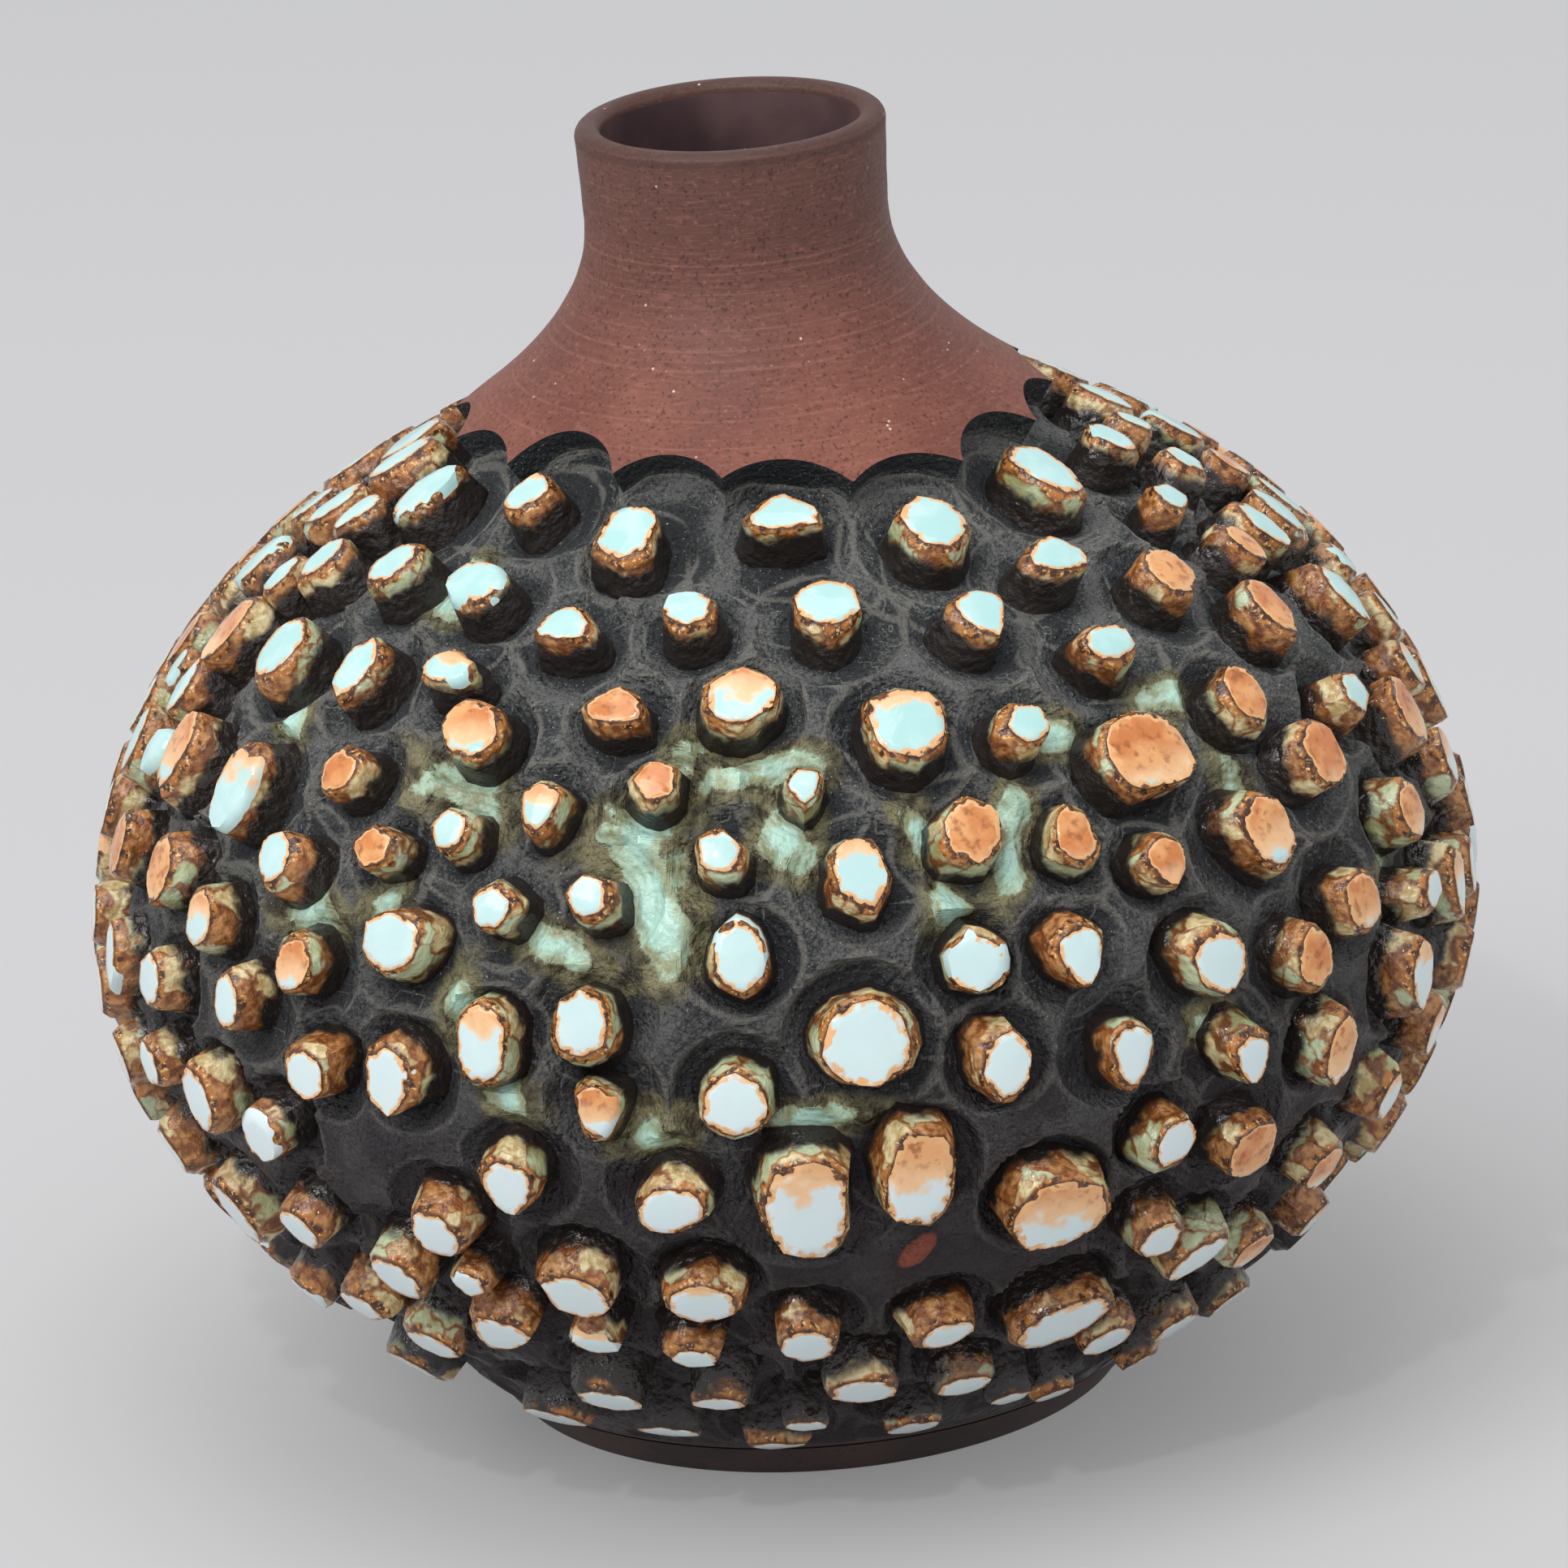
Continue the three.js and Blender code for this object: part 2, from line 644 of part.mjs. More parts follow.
// Paints a carved bowl by where each face lies: stud tops, stud sides, ground or bare clay.
function paintCarving(geometry) {
  const position = geometry.getAttribute("position");
  const colours = [];
  const corner = new THREE.Vector3();
  for (let i = 0; i < position.count; i += 3) {
    const middle = new THREE.Vector3();
    for (let j = 0; j < 3; j++)
      middle.addScaledVector(corner.fromBufferAttribute(position, i + j), 1 / 3);
    const radius = Math.hypot(middle.x, middle.y);
    const latitude = latitudeOf(radius, middle.z);
    const reach = skinAt(latitude).point.distanceTo(new THREE.Vector2(0, bellyHeight));
    const depth = reach - Math.hypot(radius, middle.z - bellyHeight);
    const bare = latitude > carvingEndLatitude || latitude < carvingStartLatitude;
    const level = depth / carvingDepth;
    const proud = level < 0.12 ? studTop : level < 0.9 ? studSide : carvedGround;
    const colour = bare && level < 0.5 ? bareClay : proud;
    for (let j = 0; j < 3; j++) colours.push(colour.r, colour.g, colour.b);
  }
  geometry.setAttribute("color", new THREE.Float32BufferAttribute(colours, 3));
  return geometry;
}

function finish(color, roughness) {
  return new THREE.MeshStandardMaterial({ color, roughness, metalness: 0 });
}

function carvedFinish() {
  return new THREE.MeshStandardMaterial({ vertexColors: true, roughness: 0.5, metalness: 0 });
}

const vase = new THREE.Group();
function addPiece(name, geometry, material) {
  const piece = new THREE.Mesh(geometry, material);
  piece.name = name;
  vase.add(piece);
}

addPiece("foot_ring", footRing(), finish(footClay, 0.8));
addPiece("base_disc", baseDisc(), finish(bareClay, 0.85));
addPiece("lower_bowl", paintCarving(geometryOf(lowerBowl())), carvedFinish());
addPiece("upper_bowl", paintCarving(geometryOf(upperBowl())), carvedFinish());
addPiece("neck_collar", neckCollar(), finish(bareClay, 0.75));
addPiece("floor_coil", floorCoil(), finish(bareClay, 0.85));
addPiece("belly_coil", seamCoil(bellyHeight), finish(bareClay, 0.85));
addPiece("neck_coil", seamCoil(neckLapFoot - coilHeight / 2), finish(bareClay, 0.85));

export default vase;
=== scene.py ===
# Onion vase: a thrown stoneware body, carved all over into glazed studs.
import math

import bpy
import numpy as np
from mathutils import Matrix, Vector


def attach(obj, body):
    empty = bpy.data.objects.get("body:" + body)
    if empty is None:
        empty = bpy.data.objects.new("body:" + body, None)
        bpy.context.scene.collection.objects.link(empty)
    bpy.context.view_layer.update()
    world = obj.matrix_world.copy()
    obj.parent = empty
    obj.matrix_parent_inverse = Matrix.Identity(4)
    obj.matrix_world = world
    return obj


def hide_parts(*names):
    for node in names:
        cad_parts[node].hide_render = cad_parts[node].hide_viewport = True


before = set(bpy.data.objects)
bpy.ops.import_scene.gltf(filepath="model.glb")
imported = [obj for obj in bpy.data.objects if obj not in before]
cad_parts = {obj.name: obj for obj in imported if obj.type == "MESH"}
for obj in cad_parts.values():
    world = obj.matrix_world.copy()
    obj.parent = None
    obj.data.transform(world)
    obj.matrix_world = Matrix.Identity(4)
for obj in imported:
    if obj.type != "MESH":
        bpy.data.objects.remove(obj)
bpy.ops.object.select_all(action="DESELECT")
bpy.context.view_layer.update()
mm = 0.001
rng = np.random.default_rng(7)
print("frame loaded")


# The skin: the smooth surface that was thrown, before the carving. The flat tops of the studs and
# the bare shoulder still lie on it. Places on it are given as on a globe, in degrees: longitude 0
# faces the camera, and latitude is seen from the centre of the belly.

skinShape = {
    "bodyRadius": 115 * mm,
    "footHeight": 6.3 * mm,
    "bowlStart": 56 * mm,
    "bowlSpread": 22 * mm,
    "bowlLift": 7 * mm,
    "belly": 82 * mm,
    "bellyDrop": 32 * mm,
    "shoulderRise": 78 * mm,
    "shoulderRadius": 62 * mm,
    "shoulderReach": 22 * mm,
    "flareRise": 40 * mm,
    "flareReach": 16 * mm,
    "neckRadius": 24.6 * mm,
    "neckLength": 16 * mm,
    "rimRadius": 25.2 * mm,
    "carvingDepth": 8 * mm,
    "bandWall": 15 * mm,
    "neckWall": 4.3 * mm,
    "carvingStart": -55,
    "carvingFull": -43,
    "carvingEnd": 58.5,
    "neckSeam": 72,
}


def bezier(points, count=500):
    a, b, c, d = [np.array(p, float) for p in points]
    t = np.linspace(0, 1, count)[:, None]
    return (1 - t) ** 3 * a + 3 * (1 - t) ** 2 * t * b + 3 * (1 - t) * t * t * c + t**3 * d


def makeSkin():
    s = skinShape
    radius, belly = s["bodyRadius"], s["belly"]
    bowl = bezier(
        [
            (s["bowlStart"], s["footHeight"]),
            (s["bowlStart"] + s["bowlSpread"], s["footHeight"] + s["bowlLift"]),
            (radius, belly - s["bellyDrop"]),
            (radius, belly),
        ]
    )
    domeHeight = s["shoulderRise"] / math.sqrt(1 - (s["shoulderRadius"] / radius) ** 2)
    end = math.acos(s["shoulderRadius"] / radius)
    angle = np.linspace(0, end, 500)[:, None]
    dome = np.hstack([radius * np.cos(angle), belly + domeHeight * np.sin(angle)])
    tangent = np.array([-radius * math.sin(end), domeHeight * math.cos(end)])
    tangent /= np.linalg.norm(tangent)
    neckFoot = np.array([s["neckRadius"], dome[-1, 1] + s["flareRise"]])
    flare = bezier(
        [
            dome[-1],
            dome[-1] + s["shoulderReach"] * tangent,
            neckFoot - [0, s["flareReach"]],
            neckFoot,
        ]
    )
    neck = np.linspace(neckFoot, (s["rimRadius"], neckFoot[1] + s["neckLength"]), 60)
    points = np.vstack([bowl, dome[1:], flare[1:], neck[1:]])
    along = np.gradient(points, axis=0)
    along /= np.linalg.norm(along, axis=1)[:, None]
    out = np.stack([along[:, 1], -along[:, 0]], 1)
    latitude = np.degrees(np.arctan2(points[:, 1] - belly, points[:, 0]))
    return latitude, points, out


skinLatitude, skinPoints, skinOut = makeSkin()
topHeight = skinPoints[-1, 1]


def skinAt(latitude):
    pick = [np.interp(latitude, skinLatitude, column) for column in (*skinPoints.T, *skinOut.T)]
    return pick  # radius, height, and the outward direction as its radius and height parts


def place(longitude, latitude, depth=0.0):
    longitude, latitude, depth = np.broadcast_arrays(longitude, latitude, depth)
    radius, height, outRadius, outHeight = skinAt(latitude)
    radius = radius - depth * outRadius
    height = height - depth * outHeight
    turn = np.radians(longitude)
    return np.stack([radius * np.sin(turn), -radius * np.cos(turn), height], -1)


def smoothstep(value, low, high):
    t = np.clip((value - low) / (high - low), 0, 1)
    return t * t * (3 - 2 * t)


def carvedAt(latitude):
    fade = smoothstep(latitude, skinShape["carvingStart"], skinShape["carvingFull"])
    return skinShape["carvingDepth"] * fade


def wallAt(latitude):
    thinning = smoothstep(latitude, skinShape["carvingEnd"], skinShape["neckSeam"])
    return skinShape["bandWall"] + (skinShape["neckWall"] - skinShape["bandWall"]) * thinning


# The studs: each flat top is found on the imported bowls.

studSearch = {
    "nodes": ("lower_bowl", "upper_bowl"),
    "latitudes": (-51, 59.8),
    "deepest": 0.8 * mm,
    "areas": (10e-6, 400e-6),
    "facingOut": 0.97,
    "samePlane": 0.9998,
    "weld": 0.01 * mm,
}


def readThrees(items, key, kind=np.float32):
    values = np.empty(len(items) * 3, kind)
    items.foreach_get(key, values)
    return values.reshape(-1, 3)


def meshTriangles(node):
    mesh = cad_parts[node].data
    corners = readThrees(mesh.polygons, "vertices", np.int32)
    return readThrees(mesh.vertices, "co")[corners].astype(float)


def latitudeOf(points):
    radius = np.hypot(points[..., 0], points[..., 1])
    return np.degrees(np.arctan2(points[..., 2] - skinShape["belly"], radius))


def topTriangles(triangles):
    cross = np.cross(triangles[:, 1] - triangles[:, 0], triangles[:, 2] - triangles[:, 0])
    size = np.linalg.norm(cross, axis=1)
    normal = cross / np.maximum(size, 1e-15)[:, None]
    middle = triangles.mean(1)
    latitude = latitudeOf(middle)
    radius, height, outRadius, outHeight = skinAt(latitude)
    reach = np.hypot(middle[:, 0], middle[:, 1])
    depth = (radius - reach) * outRadius + (height - middle[:, 2]) * outHeight
    facing = (normal[:, 0] * middle[:, 0] + normal[:, 1] * middle[:, 1]) / reach * outRadius
    facing += normal[:, 2] * outHeight
    low, high = studSearch["latitudes"]
    kept = (np.abs(depth) < studSearch["deepest"]) & (facing > studSearch["facingOut"])
    kept &= (latitude > low) & (latitude < high) & (size > 1e-12)
    return triangles[kept], normal[kept], size[kept] / 2


def groupTops(triangles, normals):
    parent = list(range(len(triangles)))

    def root(i):
        while parent[i] != i:
            parent[i] = parent[parent[i]]
            i = parent[i]
        return i

    seen = {}
    for i, corners in enumerate(np.round(triangles / studSearch["weld"]).astype(int)):
        names = [tuple(c) for c in corners]
        for a, b in ((0, 1), (1, 2), (2, 0)):
            edge = frozenset((names[a], names[b]))
            if edge in seen and normals[seen[edge]] @ normals[i] > studSearch["samePlane"]:
                parent[root(i)] = root(seen[edge])
            seen[edge] = i
    groups = {}
    for i in range(len(triangles)):
        groups.setdefault(root(i), []).append(i)
    return list(groups.values())


def findStuds():
    studs = []
    for node in studSearch["nodes"]:
        triangles, normals, areas = topTriangles(meshTriangles(node))
        for group in groupTops(triangles, normals):
            area = areas[group].sum()
            if not studSearch["areas"][0] < area < studSearch["areas"][1]:
                continue
            centre = (triangles[group].mean(1) * areas[group][:, None]).sum(0) / area
            out = (normals[group] * areas[group][:, None]).sum(0)
            out /= np.linalg.norm(out)
            east = np.cross((0, 0, 1), out)
            east /= np.linalg.norm(east)
            uphill = np.cross(out, east)
            corners = np.unique(np.round(triangles[group].reshape(-1, 3), 6), axis=0) - centre
            flat = np.stack([corners @ east, corners @ uphill], 1)
            flat = flat[np.argsort(np.arctan2(flat[:, 1], flat[:, 0]))]
            studs.append(
                {
                    "centre": centre,
                    "axes": np.array([east, uphill, out]),
                    "outline": flat,
                    "radius": math.sqrt(area / math.pi),
                    "longitude": math.degrees(math.atan2(centre[0], -centre[1])),
                    "latitude": float(latitudeOf(centre)),
                }
            )
    return studs


studs = findStuds()
print("studs found on the bowls:", len(studs))

# On the far side small studs fill the wider gaps between the rows.
fillers = {
    "tries": 6000,
    "nearest": 78,
    "latitudes": (-44, 55),
    "sizes": (3.2 * mm, 5.2 * mm),
    "clearance": 2.6 * mm,
    "corners": 6,
    "unevenCorner": 0.3,
    "longest": 1.35,
}


def makeFiller(longitude, latitude, radius):
    centre = place(longitude, latitude)
    turn = math.radians(longitude)
    east = np.array([math.cos(turn), math.sin(turn), 0])
    outRadius, outHeight = skinAt(latitude)[2:]
    out = np.array([outRadius * math.sin(turn), -outRadius * math.cos(turn), outHeight])
    count, uneven = fillers["corners"], fillers["unevenCorner"]
    angle = (np.arange(count) + rng.uniform(-uneven, uneven, count)) / count
    angle = angle * 2 * math.pi
    stretch = rng.uniform(1, fillers["longest"])
    outline = radius * np.stack([np.cos(angle) / stretch, np.sin(angle) * stretch], 1)
    return {
        "centre": centre,
        "axes": np.array([east, np.cross(out, east), out]),
        "outline": outline,
        "radius": radius,
        "longitude": (longitude + 180) % 360 - 180,
        "latitude": latitude,
    }


def fillGaps():
    centres = np.array([stud["centre"] for stud in studs])
    radii = np.array([stud["radius"] for stud in studs])
    for _ in range(fillers["tries"]):
        longitude = rng.uniform(fillers["nearest"], 360 - fillers["nearest"])
        latitude = rng.uniform(*fillers["latitudes"])
        radius = rng.uniform(*fillers["sizes"])
        away = np.linalg.norm(centres - place(longitude, latitude), axis=1)
        if (away - radii - radius).min() > fillers["clearance"]:
            studs.append(makeFiller(longitude, latitude, radius))
            centres = np.vstack([centres, studs[-1]["centre"]])
            radii = np.append(radii, radius)


fillGaps()
print("studs with the fillers:", len(studs))


# How far down a stud's top the glaze breaks from white to orange: longitude, latitude and share of
# the top. A front stud that isn't in the list is all white. On the far side the share is drawn.

warmTops = [
    (-44.5, 59, 0.3), (54.5, 40, 0.8), (84, 46, 0.3), (-79, 33, 0.7), (-38.5, 38.5, 0.4),
    (-32, 33, 0.6), (-16.5, 36.5, 1), (-3, 37, 0.5), (13.5, 33, 0.4), (64, 32.5, 1),
    (71, 38, 0.8), (88, 36, 0.2), (80.5, 28, 0.2), (-93, 28, 1), (-72, 23.5, 0.6),
    (-59, 23.5, 0.4), (-45.5, 27.5, 1), (-22.5, 27, 0.5), (-11.5, 29.5, 1), (17, 23, 0.9),
    (26, 21, 0.9), (36.5, 26, 0.7), (51, 27.5, 1), (66.5, 22.5, 0.3), (84, 19, 0.4),
    (-66, 14.5, 0.7), (-38.5, 22, 1), (6.5, 21, 0.4), (34, 17, 0.8), (45.5, 16.5, 0.6),
    (56.5, 20, 0.9), (75, 18, 0.7), (80.5, 11.5, 0.5), (-77.5, 13, 1), (-57.5, 12.5, 0.5),
    (-44.5, 11.5, 0.6), (36.5, 8, 0.3), (46.5, 5.5, 0.8), (54, 8, 0.7), (66, 12, 0.7),
    (-74.5, 4.5, 0.2), (-34, 4, 0.3), (-25.5, 8, 0.4), (-16, 3, 0.6), (5.5, 7.5, 0.25),
    (66, 5, 0.2), (73, 3, 0.5), (62, -1, 0.4), (-24, -4, 0.25), (0, -6, 0.4),
    (9, -4, 0.5), (20.5, -9.5, 0.5), (49, -3, 0.6), (67.5, -8, 0.5), (-60, -15, 0.2),
    (-9.5, -15, 0.3), (39.5, -9, 0.8), (51.5, -15.5, 0.7), (60, -11.5, 0.4), (-20.5, -21.5, 0.3),
    (12, -21, 0.3), (24, -24.5, 0.3), (46.5, -23.5, 0.6), (59, -25, 0.4), (31.5, -30.5, 0.2),
    (43.5, -34, 0.2), (-6.5, -46, 0.3),
]  # fmt: skip
warming = {
    "eastShare": 0.8,
    "reach": 3,
    "backFrom": 93,
    "backShares": (0, 0, 0.3, 0.5, 0.7, 1),
    "backLatitudes": (-18, 42),
    "beyond": 0.25,
}


def warmthOf(stud):
    if abs(stud["longitude"]) > warming["backFrom"]:
        low, high = warming["backLatitudes"]
        mostly = 1 if low <= stud["latitude"] <= high else warming["beyond"]
        shares = warming["backShares"]
        return mostly * shares[rng.integers(len(shares))]
    away = np.array(warmTops)[:, :2] - (stud["longitude"], stud["latitude"])
    away = np.hypot(away[:, 0] * warming["eastShare"], away[:, 1])
    nearest = away.argmin()
    distance, warmth = away[nearest], warmTops[nearest][2]
    return warmth if distance < warming["reach"] else 0.0


for stud in studs:
    stud["warmth"] = warmthOf(stud)


# The stud that all of them are shaped from: rings from the buried foot up to the flat top, as
# share of the top's outline, distance outside it and depth under the top.

studForm = {
    "points": 16,
    "rings": [
        (1.0, 2.2 * mm, 9.6 * mm),
        (1.0, 1.2 * mm, 4.4 * mm),
        (1.0, 0.8 * mm, 1.2 * mm),
        (1.0, 0.0, 0.15 * mm),
        (0.74, 0.0, 0.0),
    ],
    "shallow": (2.4 * mm, 1.7 * mm),
    "grow": 1.03,
    "unevenTop": 0.055,
    "jagged": 0.025,
    "unevenSide": 0.25 * mm,
    "unevenEdge": 0.55,
    "edgeRange": (0.35, 2.1),
    "tilt": 0.02,
    "cornerCut": 0.12,
}


def modelStud():
    rings = studForm["rings"]
    bpy.ops.mesh.primitive_circle_add(
        vertices=studForm["points"], radius=1, fill_type="NGON", location=(0, 0, -rings[0][2])
    )
    stud = bpy.context.object
    bpy.ops.object.mode_set(mode="EDIT")
    for below, above in zip(rings, rings[1:]):
        rise = below[2] - above[2]
        bpy.ops.mesh.extrude_region_move(TRANSFORM_OT_translate={"value": (0, 0, rise)})
    bpy.ops.mesh.select_all(action="SELECT")
    bpy.ops.mesh.normals_make_consistent(inside=False)
    bpy.ops.object.mode_set(mode="OBJECT")
    bpy.ops.object.transform_apply(location=True)
    return stud


def softened(outline, count):  # cuts the corners twice, then spaces the points evenly
    cut = studForm["cornerCut"]
    for _ in range(2):
        following = np.roll(outline, -1, axis=0)
        pair = [(1 - cut) * outline + cut * following, cut * outline + (1 - cut) * following]
        outline = np.stack(pair, 1).reshape(-1, 2)
    ends = np.vstack([outline, outline[:1]])
    length = np.r_[0, np.cumsum(np.linalg.norm(np.diff(ends, axis=0), axis=1))]
    at = np.arange(count) / count * length[-1]
    return np.stack([np.interp(at, length, column) for column in ends.T], 1)


def wobble(count, waves, size):  # a smooth closed wave, different each time
    angle = np.arange(count) / count * 2 * math.pi
    total = np.zeros(count)
    for k in waves:
        total += rng.normal() / k * np.cos(k * angle + rng.uniform(0, 2 * math.pi))
    return size * total


def shapeStud(stud, ringOf, pointOf):
    count, rings = studForm["points"], studForm["rings"]
    outline = softened(stud["outline"], count) * studForm["grow"]
    uneven = wobble(count, (2, 3, 5), studForm["unevenTop"])
    uneven += studForm["jagged"] * rng.uniform(-1, 1, count)
    outline *= (1 + uneven)[:, None]
    outward = outline / np.linalg.norm(outline, axis=1)[:, None]
    tilt = rng.normal(0, studForm["tilt"], 2)
    halfHeight = np.abs(outline[:, 1]).max()
    reach = carvedAt(stud["latitude"]) / skinShape["carvingDepth"]
    broken = 1 + wobble(count, (1, 2, 3, 5), studForm["unevenEdge"])
    broken = np.clip(broken, *studForm["edgeRange"])
    points = np.zeros((len(ringOf), 3))
    marks = np.zeros((len(ringOf), 2))
    for k, (share, outside, depth) in enumerate(rings):
        rough = wobble(count, (3, 4, 6), studForm["unevenSide"] if k in (1, 2) else 0)
        ring = outline * share + outward * (outside * broken + rough)[:, None]
        fall = depth if k > 1 else max(depth * reach, studForm["shallow"][k])
        fall = fall + np.abs(ring @ tilt)
        at = pointOf[ringOf == k]
        points[ringOf == k] = np.c_[ring, -fall][at]
        marks[ringOf == k] = np.c_[np.full(count, depth / mm), ring[:, 1] / halfHeight][at]
    return points @ stud["axes"] + stud["centre"], marks


def setMark(mesh, key, values):
    layer = mesh.attributes.new(key, "FLOAT", "POINT")
    layer.data.foreach_set("value", values.astype(np.float32))


def cleanUp(piece, weld=0.0, sharp=50):  # joins doubled points, faces outwards and smooths
    bpy.ops.object.mode_set(mode="EDIT")
    bpy.ops.mesh.select_all(action="SELECT")
    if weld:
        bpy.ops.mesh.remove_doubles(threshold=weld)
    bpy.ops.mesh.normals_make_consistent(inside=False)
    bpy.ops.object.mode_set(mode="OBJECT")
    bpy.ops.object.shade_smooth_by_angle(angle=math.radians(sharp))
    piece.select_set(False)


def makeStuds(name, members):
    form = modelStud()
    shape = np.array([v.co for v in form.data.vertices])
    faces = [list(p.vertices) for p in form.data.polygons]
    bpy.data.objects.remove(form)
    depths = -np.array([ring[2] for ring in studForm["rings"]])
    ringOf = np.abs(shape[:, 2:] - depths).argmin(1)
    turn = np.arctan2(shape[:, 1], shape[:, 0]) / (2 * math.pi) * studForm["points"]
    pointOf = np.round(turn).astype(int) % studForm["points"]
    allPoints, allFaces, allMarks = [], [], []
    for stud in members:
        points, marks = shapeStud(stud, ringOf, pointOf)
        start = len(allPoints) * len(points)
        allPoints.append(points)
        allFaces += [[i + start for i in face] for face in faces]
        own = np.full((len(points), 3), (stud["warmth"], stud["green"], rng.random()))
        allMarks.append(np.hstack([marks, own]))
    mesh = bpy.data.meshes.new(name)
    mesh.from_pydata(np.vstack(allPoints).tolist(), [], allFaces)
    piece = bpy.data.objects.new(name, mesh)
    bpy.context.scene.collection.objects.link(piece)
    marks = np.vstack(allMarks)
    for i, key in enumerate(("depth", "uphill", "warmth", "green", "chance")):
        setMark(mesh, key, marks[:, i])
    bpy.context.view_layer.objects.active = piece
    piece.select_set(True)
    cleanUp(piece)
    return piece


# The carved ground: overlapping round scoops, one round each stud, and ridges between them, dusty
# and with a painted highlight along the rims.

carving = {
    "scoopReach": 6.8 * mm,
    "scoopReachSpread": 1.1 * mm,
    "scoopDepthSpread": 0.6 * mm,
    "scoopDish": 2.3 * mm,
    "scoopDishSpread": 0.8 * mm,
    "ridgeDepth": 4.9 * mm,
    "rimWidth": 1.1 * mm,
    "ringWidth": 3.1 * mm,
    "ringDepth": 0.12 * mm,
    "grainDepth": 0.3 * mm,
    "grainSize": 4 * mm,
    "ridgeGrainSize": 7 * mm,
    "edgeWaver": 0.5 * mm,
    "edgeWaverSize": 9 * mm,
    "poolThick": 0.5 * mm,
    "poolReach": 2.4,
    "poolEdge": (1.3, 1.9),
    "scarDepth": 1.2 * mm,
    "scarReach": 1.6,
    "scarEdge": (0.6, 1.1),
    "upperEdgeCore": 5 * mm,
    "upperEdgeShare": 0.97,
    "far": 9.0,
}

# The round cuts of the upper edge at the front, as longitude, latitude and radius in millimetres,
# and those round the back.
edgeScoops = [
    (-67, 54, 16), (-42, 59.5, 11.5), (-18, 57, 13), (4, 54, 16.5), (29, 52, 17), (54, 55, 14),
    (79, 54, 15),
]  # fmt: skip
backScoops = {"count": 8, "latitude": 54, "radius": 15}
edgeSearch = {"latitudes": (58.5, 68), "steps": 96, "least": 59.0}

# Pools of pale green glaze on the ground: longitude, latitude, half width and half height in
# millimetres, and turn.
glazePools = [
    (-50.5, 48.5, 3.5, 5, 0), (-34, 29, 8, 4, -20), (-14, 25, 7, 5, 10), (-11.5, 19, 4.5, 8, 15),
    (-20, 15.5, 7, 3, -20), (-1.5, 31.2, 7.5, 3, 5), (0.5, 25.5, 4, 5, 0), (13, 25, 3, 4, 0),
    (21.5, 22, 2.6, 8, -25), (44, 30.5, 5, 3, 0), (47, 22, 3, 5, 0), (-47, 15.5, 6, 3.5, 0),
    (-24, 3.5, 3, 5, 30), (37.5, 2.5, 4, 2.5, 0), (0.5, 1, 8, 2.2, 0), (-12.5, 0, 4.5, 3.5, 20),
    (64, 8, 4.5, 2.5, 0), (-38, 18, 3, 4, 0), (-59, 31, 4, 3, 0), (-29, 10.5, 3, 5, 0),
    (14, 17.5, 3, 4, 0), (29, 31, 4, 3, 0), (-9, 33.5, 3, 3, 0), (108, 20, 7, 4, 10),
    (150, 28, 6, 5, 0), (190, 12, 7, 4, -15), (225, 24, 6, 4, 0), (250, 8, 6, 4, 15),
    (130, -2, 5, 5, 0), (205, 30, 4, 4, 0), (170, 2, 4, 5, 0), (245, 34, 5, 3, 0),
]  # fmt: skip
bareScar = {"longitude": 9.2, "latitude": -13.4, "wide": 2.3 * mm, "high": 4.6 * mm, "turn": -35}
greening = {"reach": (4 * mm, 14 * mm), "share": 0.5, "chance": 0.45}


def greenOf(stud):  # how much of a stud's side the pools beside it have turned green
    reach = [
        np.linalg.norm(place(lon, lat) - stud["centre"]) - max(wide, high) * mm
        for lon, lat, wide, high, _ in glazePools
    ]
    near = 1 - smoothstep(min(reach), *greening["reach"])
    return float(np.clip(greening["share"] * near + rng.uniform(0, greening["chance"]), 0, 1))


for stud in studs:
    stud["green"] = greenOf(stud)


def allEdgeScoops():
    first, last = edgeScoops[0][0] + 360, edgeScoops[-1][0]
    step = (first - last) / (backScoops["count"] + 1)
    back = [
        (last + (k + 1) * step, backScoops["latitude"], backScoops["radius"])
        for k in range(backScoops["count"])
    ]
    return edgeScoops + back


def edgeLatitude(longitude):  # where the carving stops, as a row of arcs
    steps = np.linspace(*edgeSearch["latitudes"], edgeSearch["steps"])
    top = np.full(longitude.shape, edgeSearch["least"])
    for lon, lat, radius in allEdgeScoops():
        centre = place(lon, lat)
        points = place(longitude[:, None], steps[None, :])
        inside = np.linalg.norm(points - centre, axis=-1) - radius * mm
        crossing = (inside[:, :-1] < 0) & (inside[:, 1:] >= 0)
        rows = np.nonzero(crossing.any(1))[0]
        k = crossing[rows].argmax(1)
        share = inside[rows, k] / (inside[rows, k] - inside[rows, k + 1])
        top[rows] = np.maximum(top[rows], steps[k] + share * (steps[1] - steps[0]))
    return top


def oval(points, longitude, latitude, wide, high, turn):  # 0 at the middle and 1 at the edge
    centre = place(longitude, latitude)
    lon = math.radians(longitude)
    east = np.array([math.cos(lon), math.sin(lon), 0])
    out = np.array(skinAt(latitude)[2:])
    uphill = np.array([-math.sin(lon) * out[1], math.cos(lon) * out[1], out[0]])
    offset = points - centre
    x, y = offset @ east, offset @ uphill
    c, s = math.cos(math.radians(turn)), math.sin(math.radians(turn))
    distance = np.hypot((x * c + y * s) / wide, (-x * s + y * c) / high)
    near = np.linalg.norm(offset, axis=-1) < 3 * max(wide, high)
    return np.where(near, distance, carving["far"])


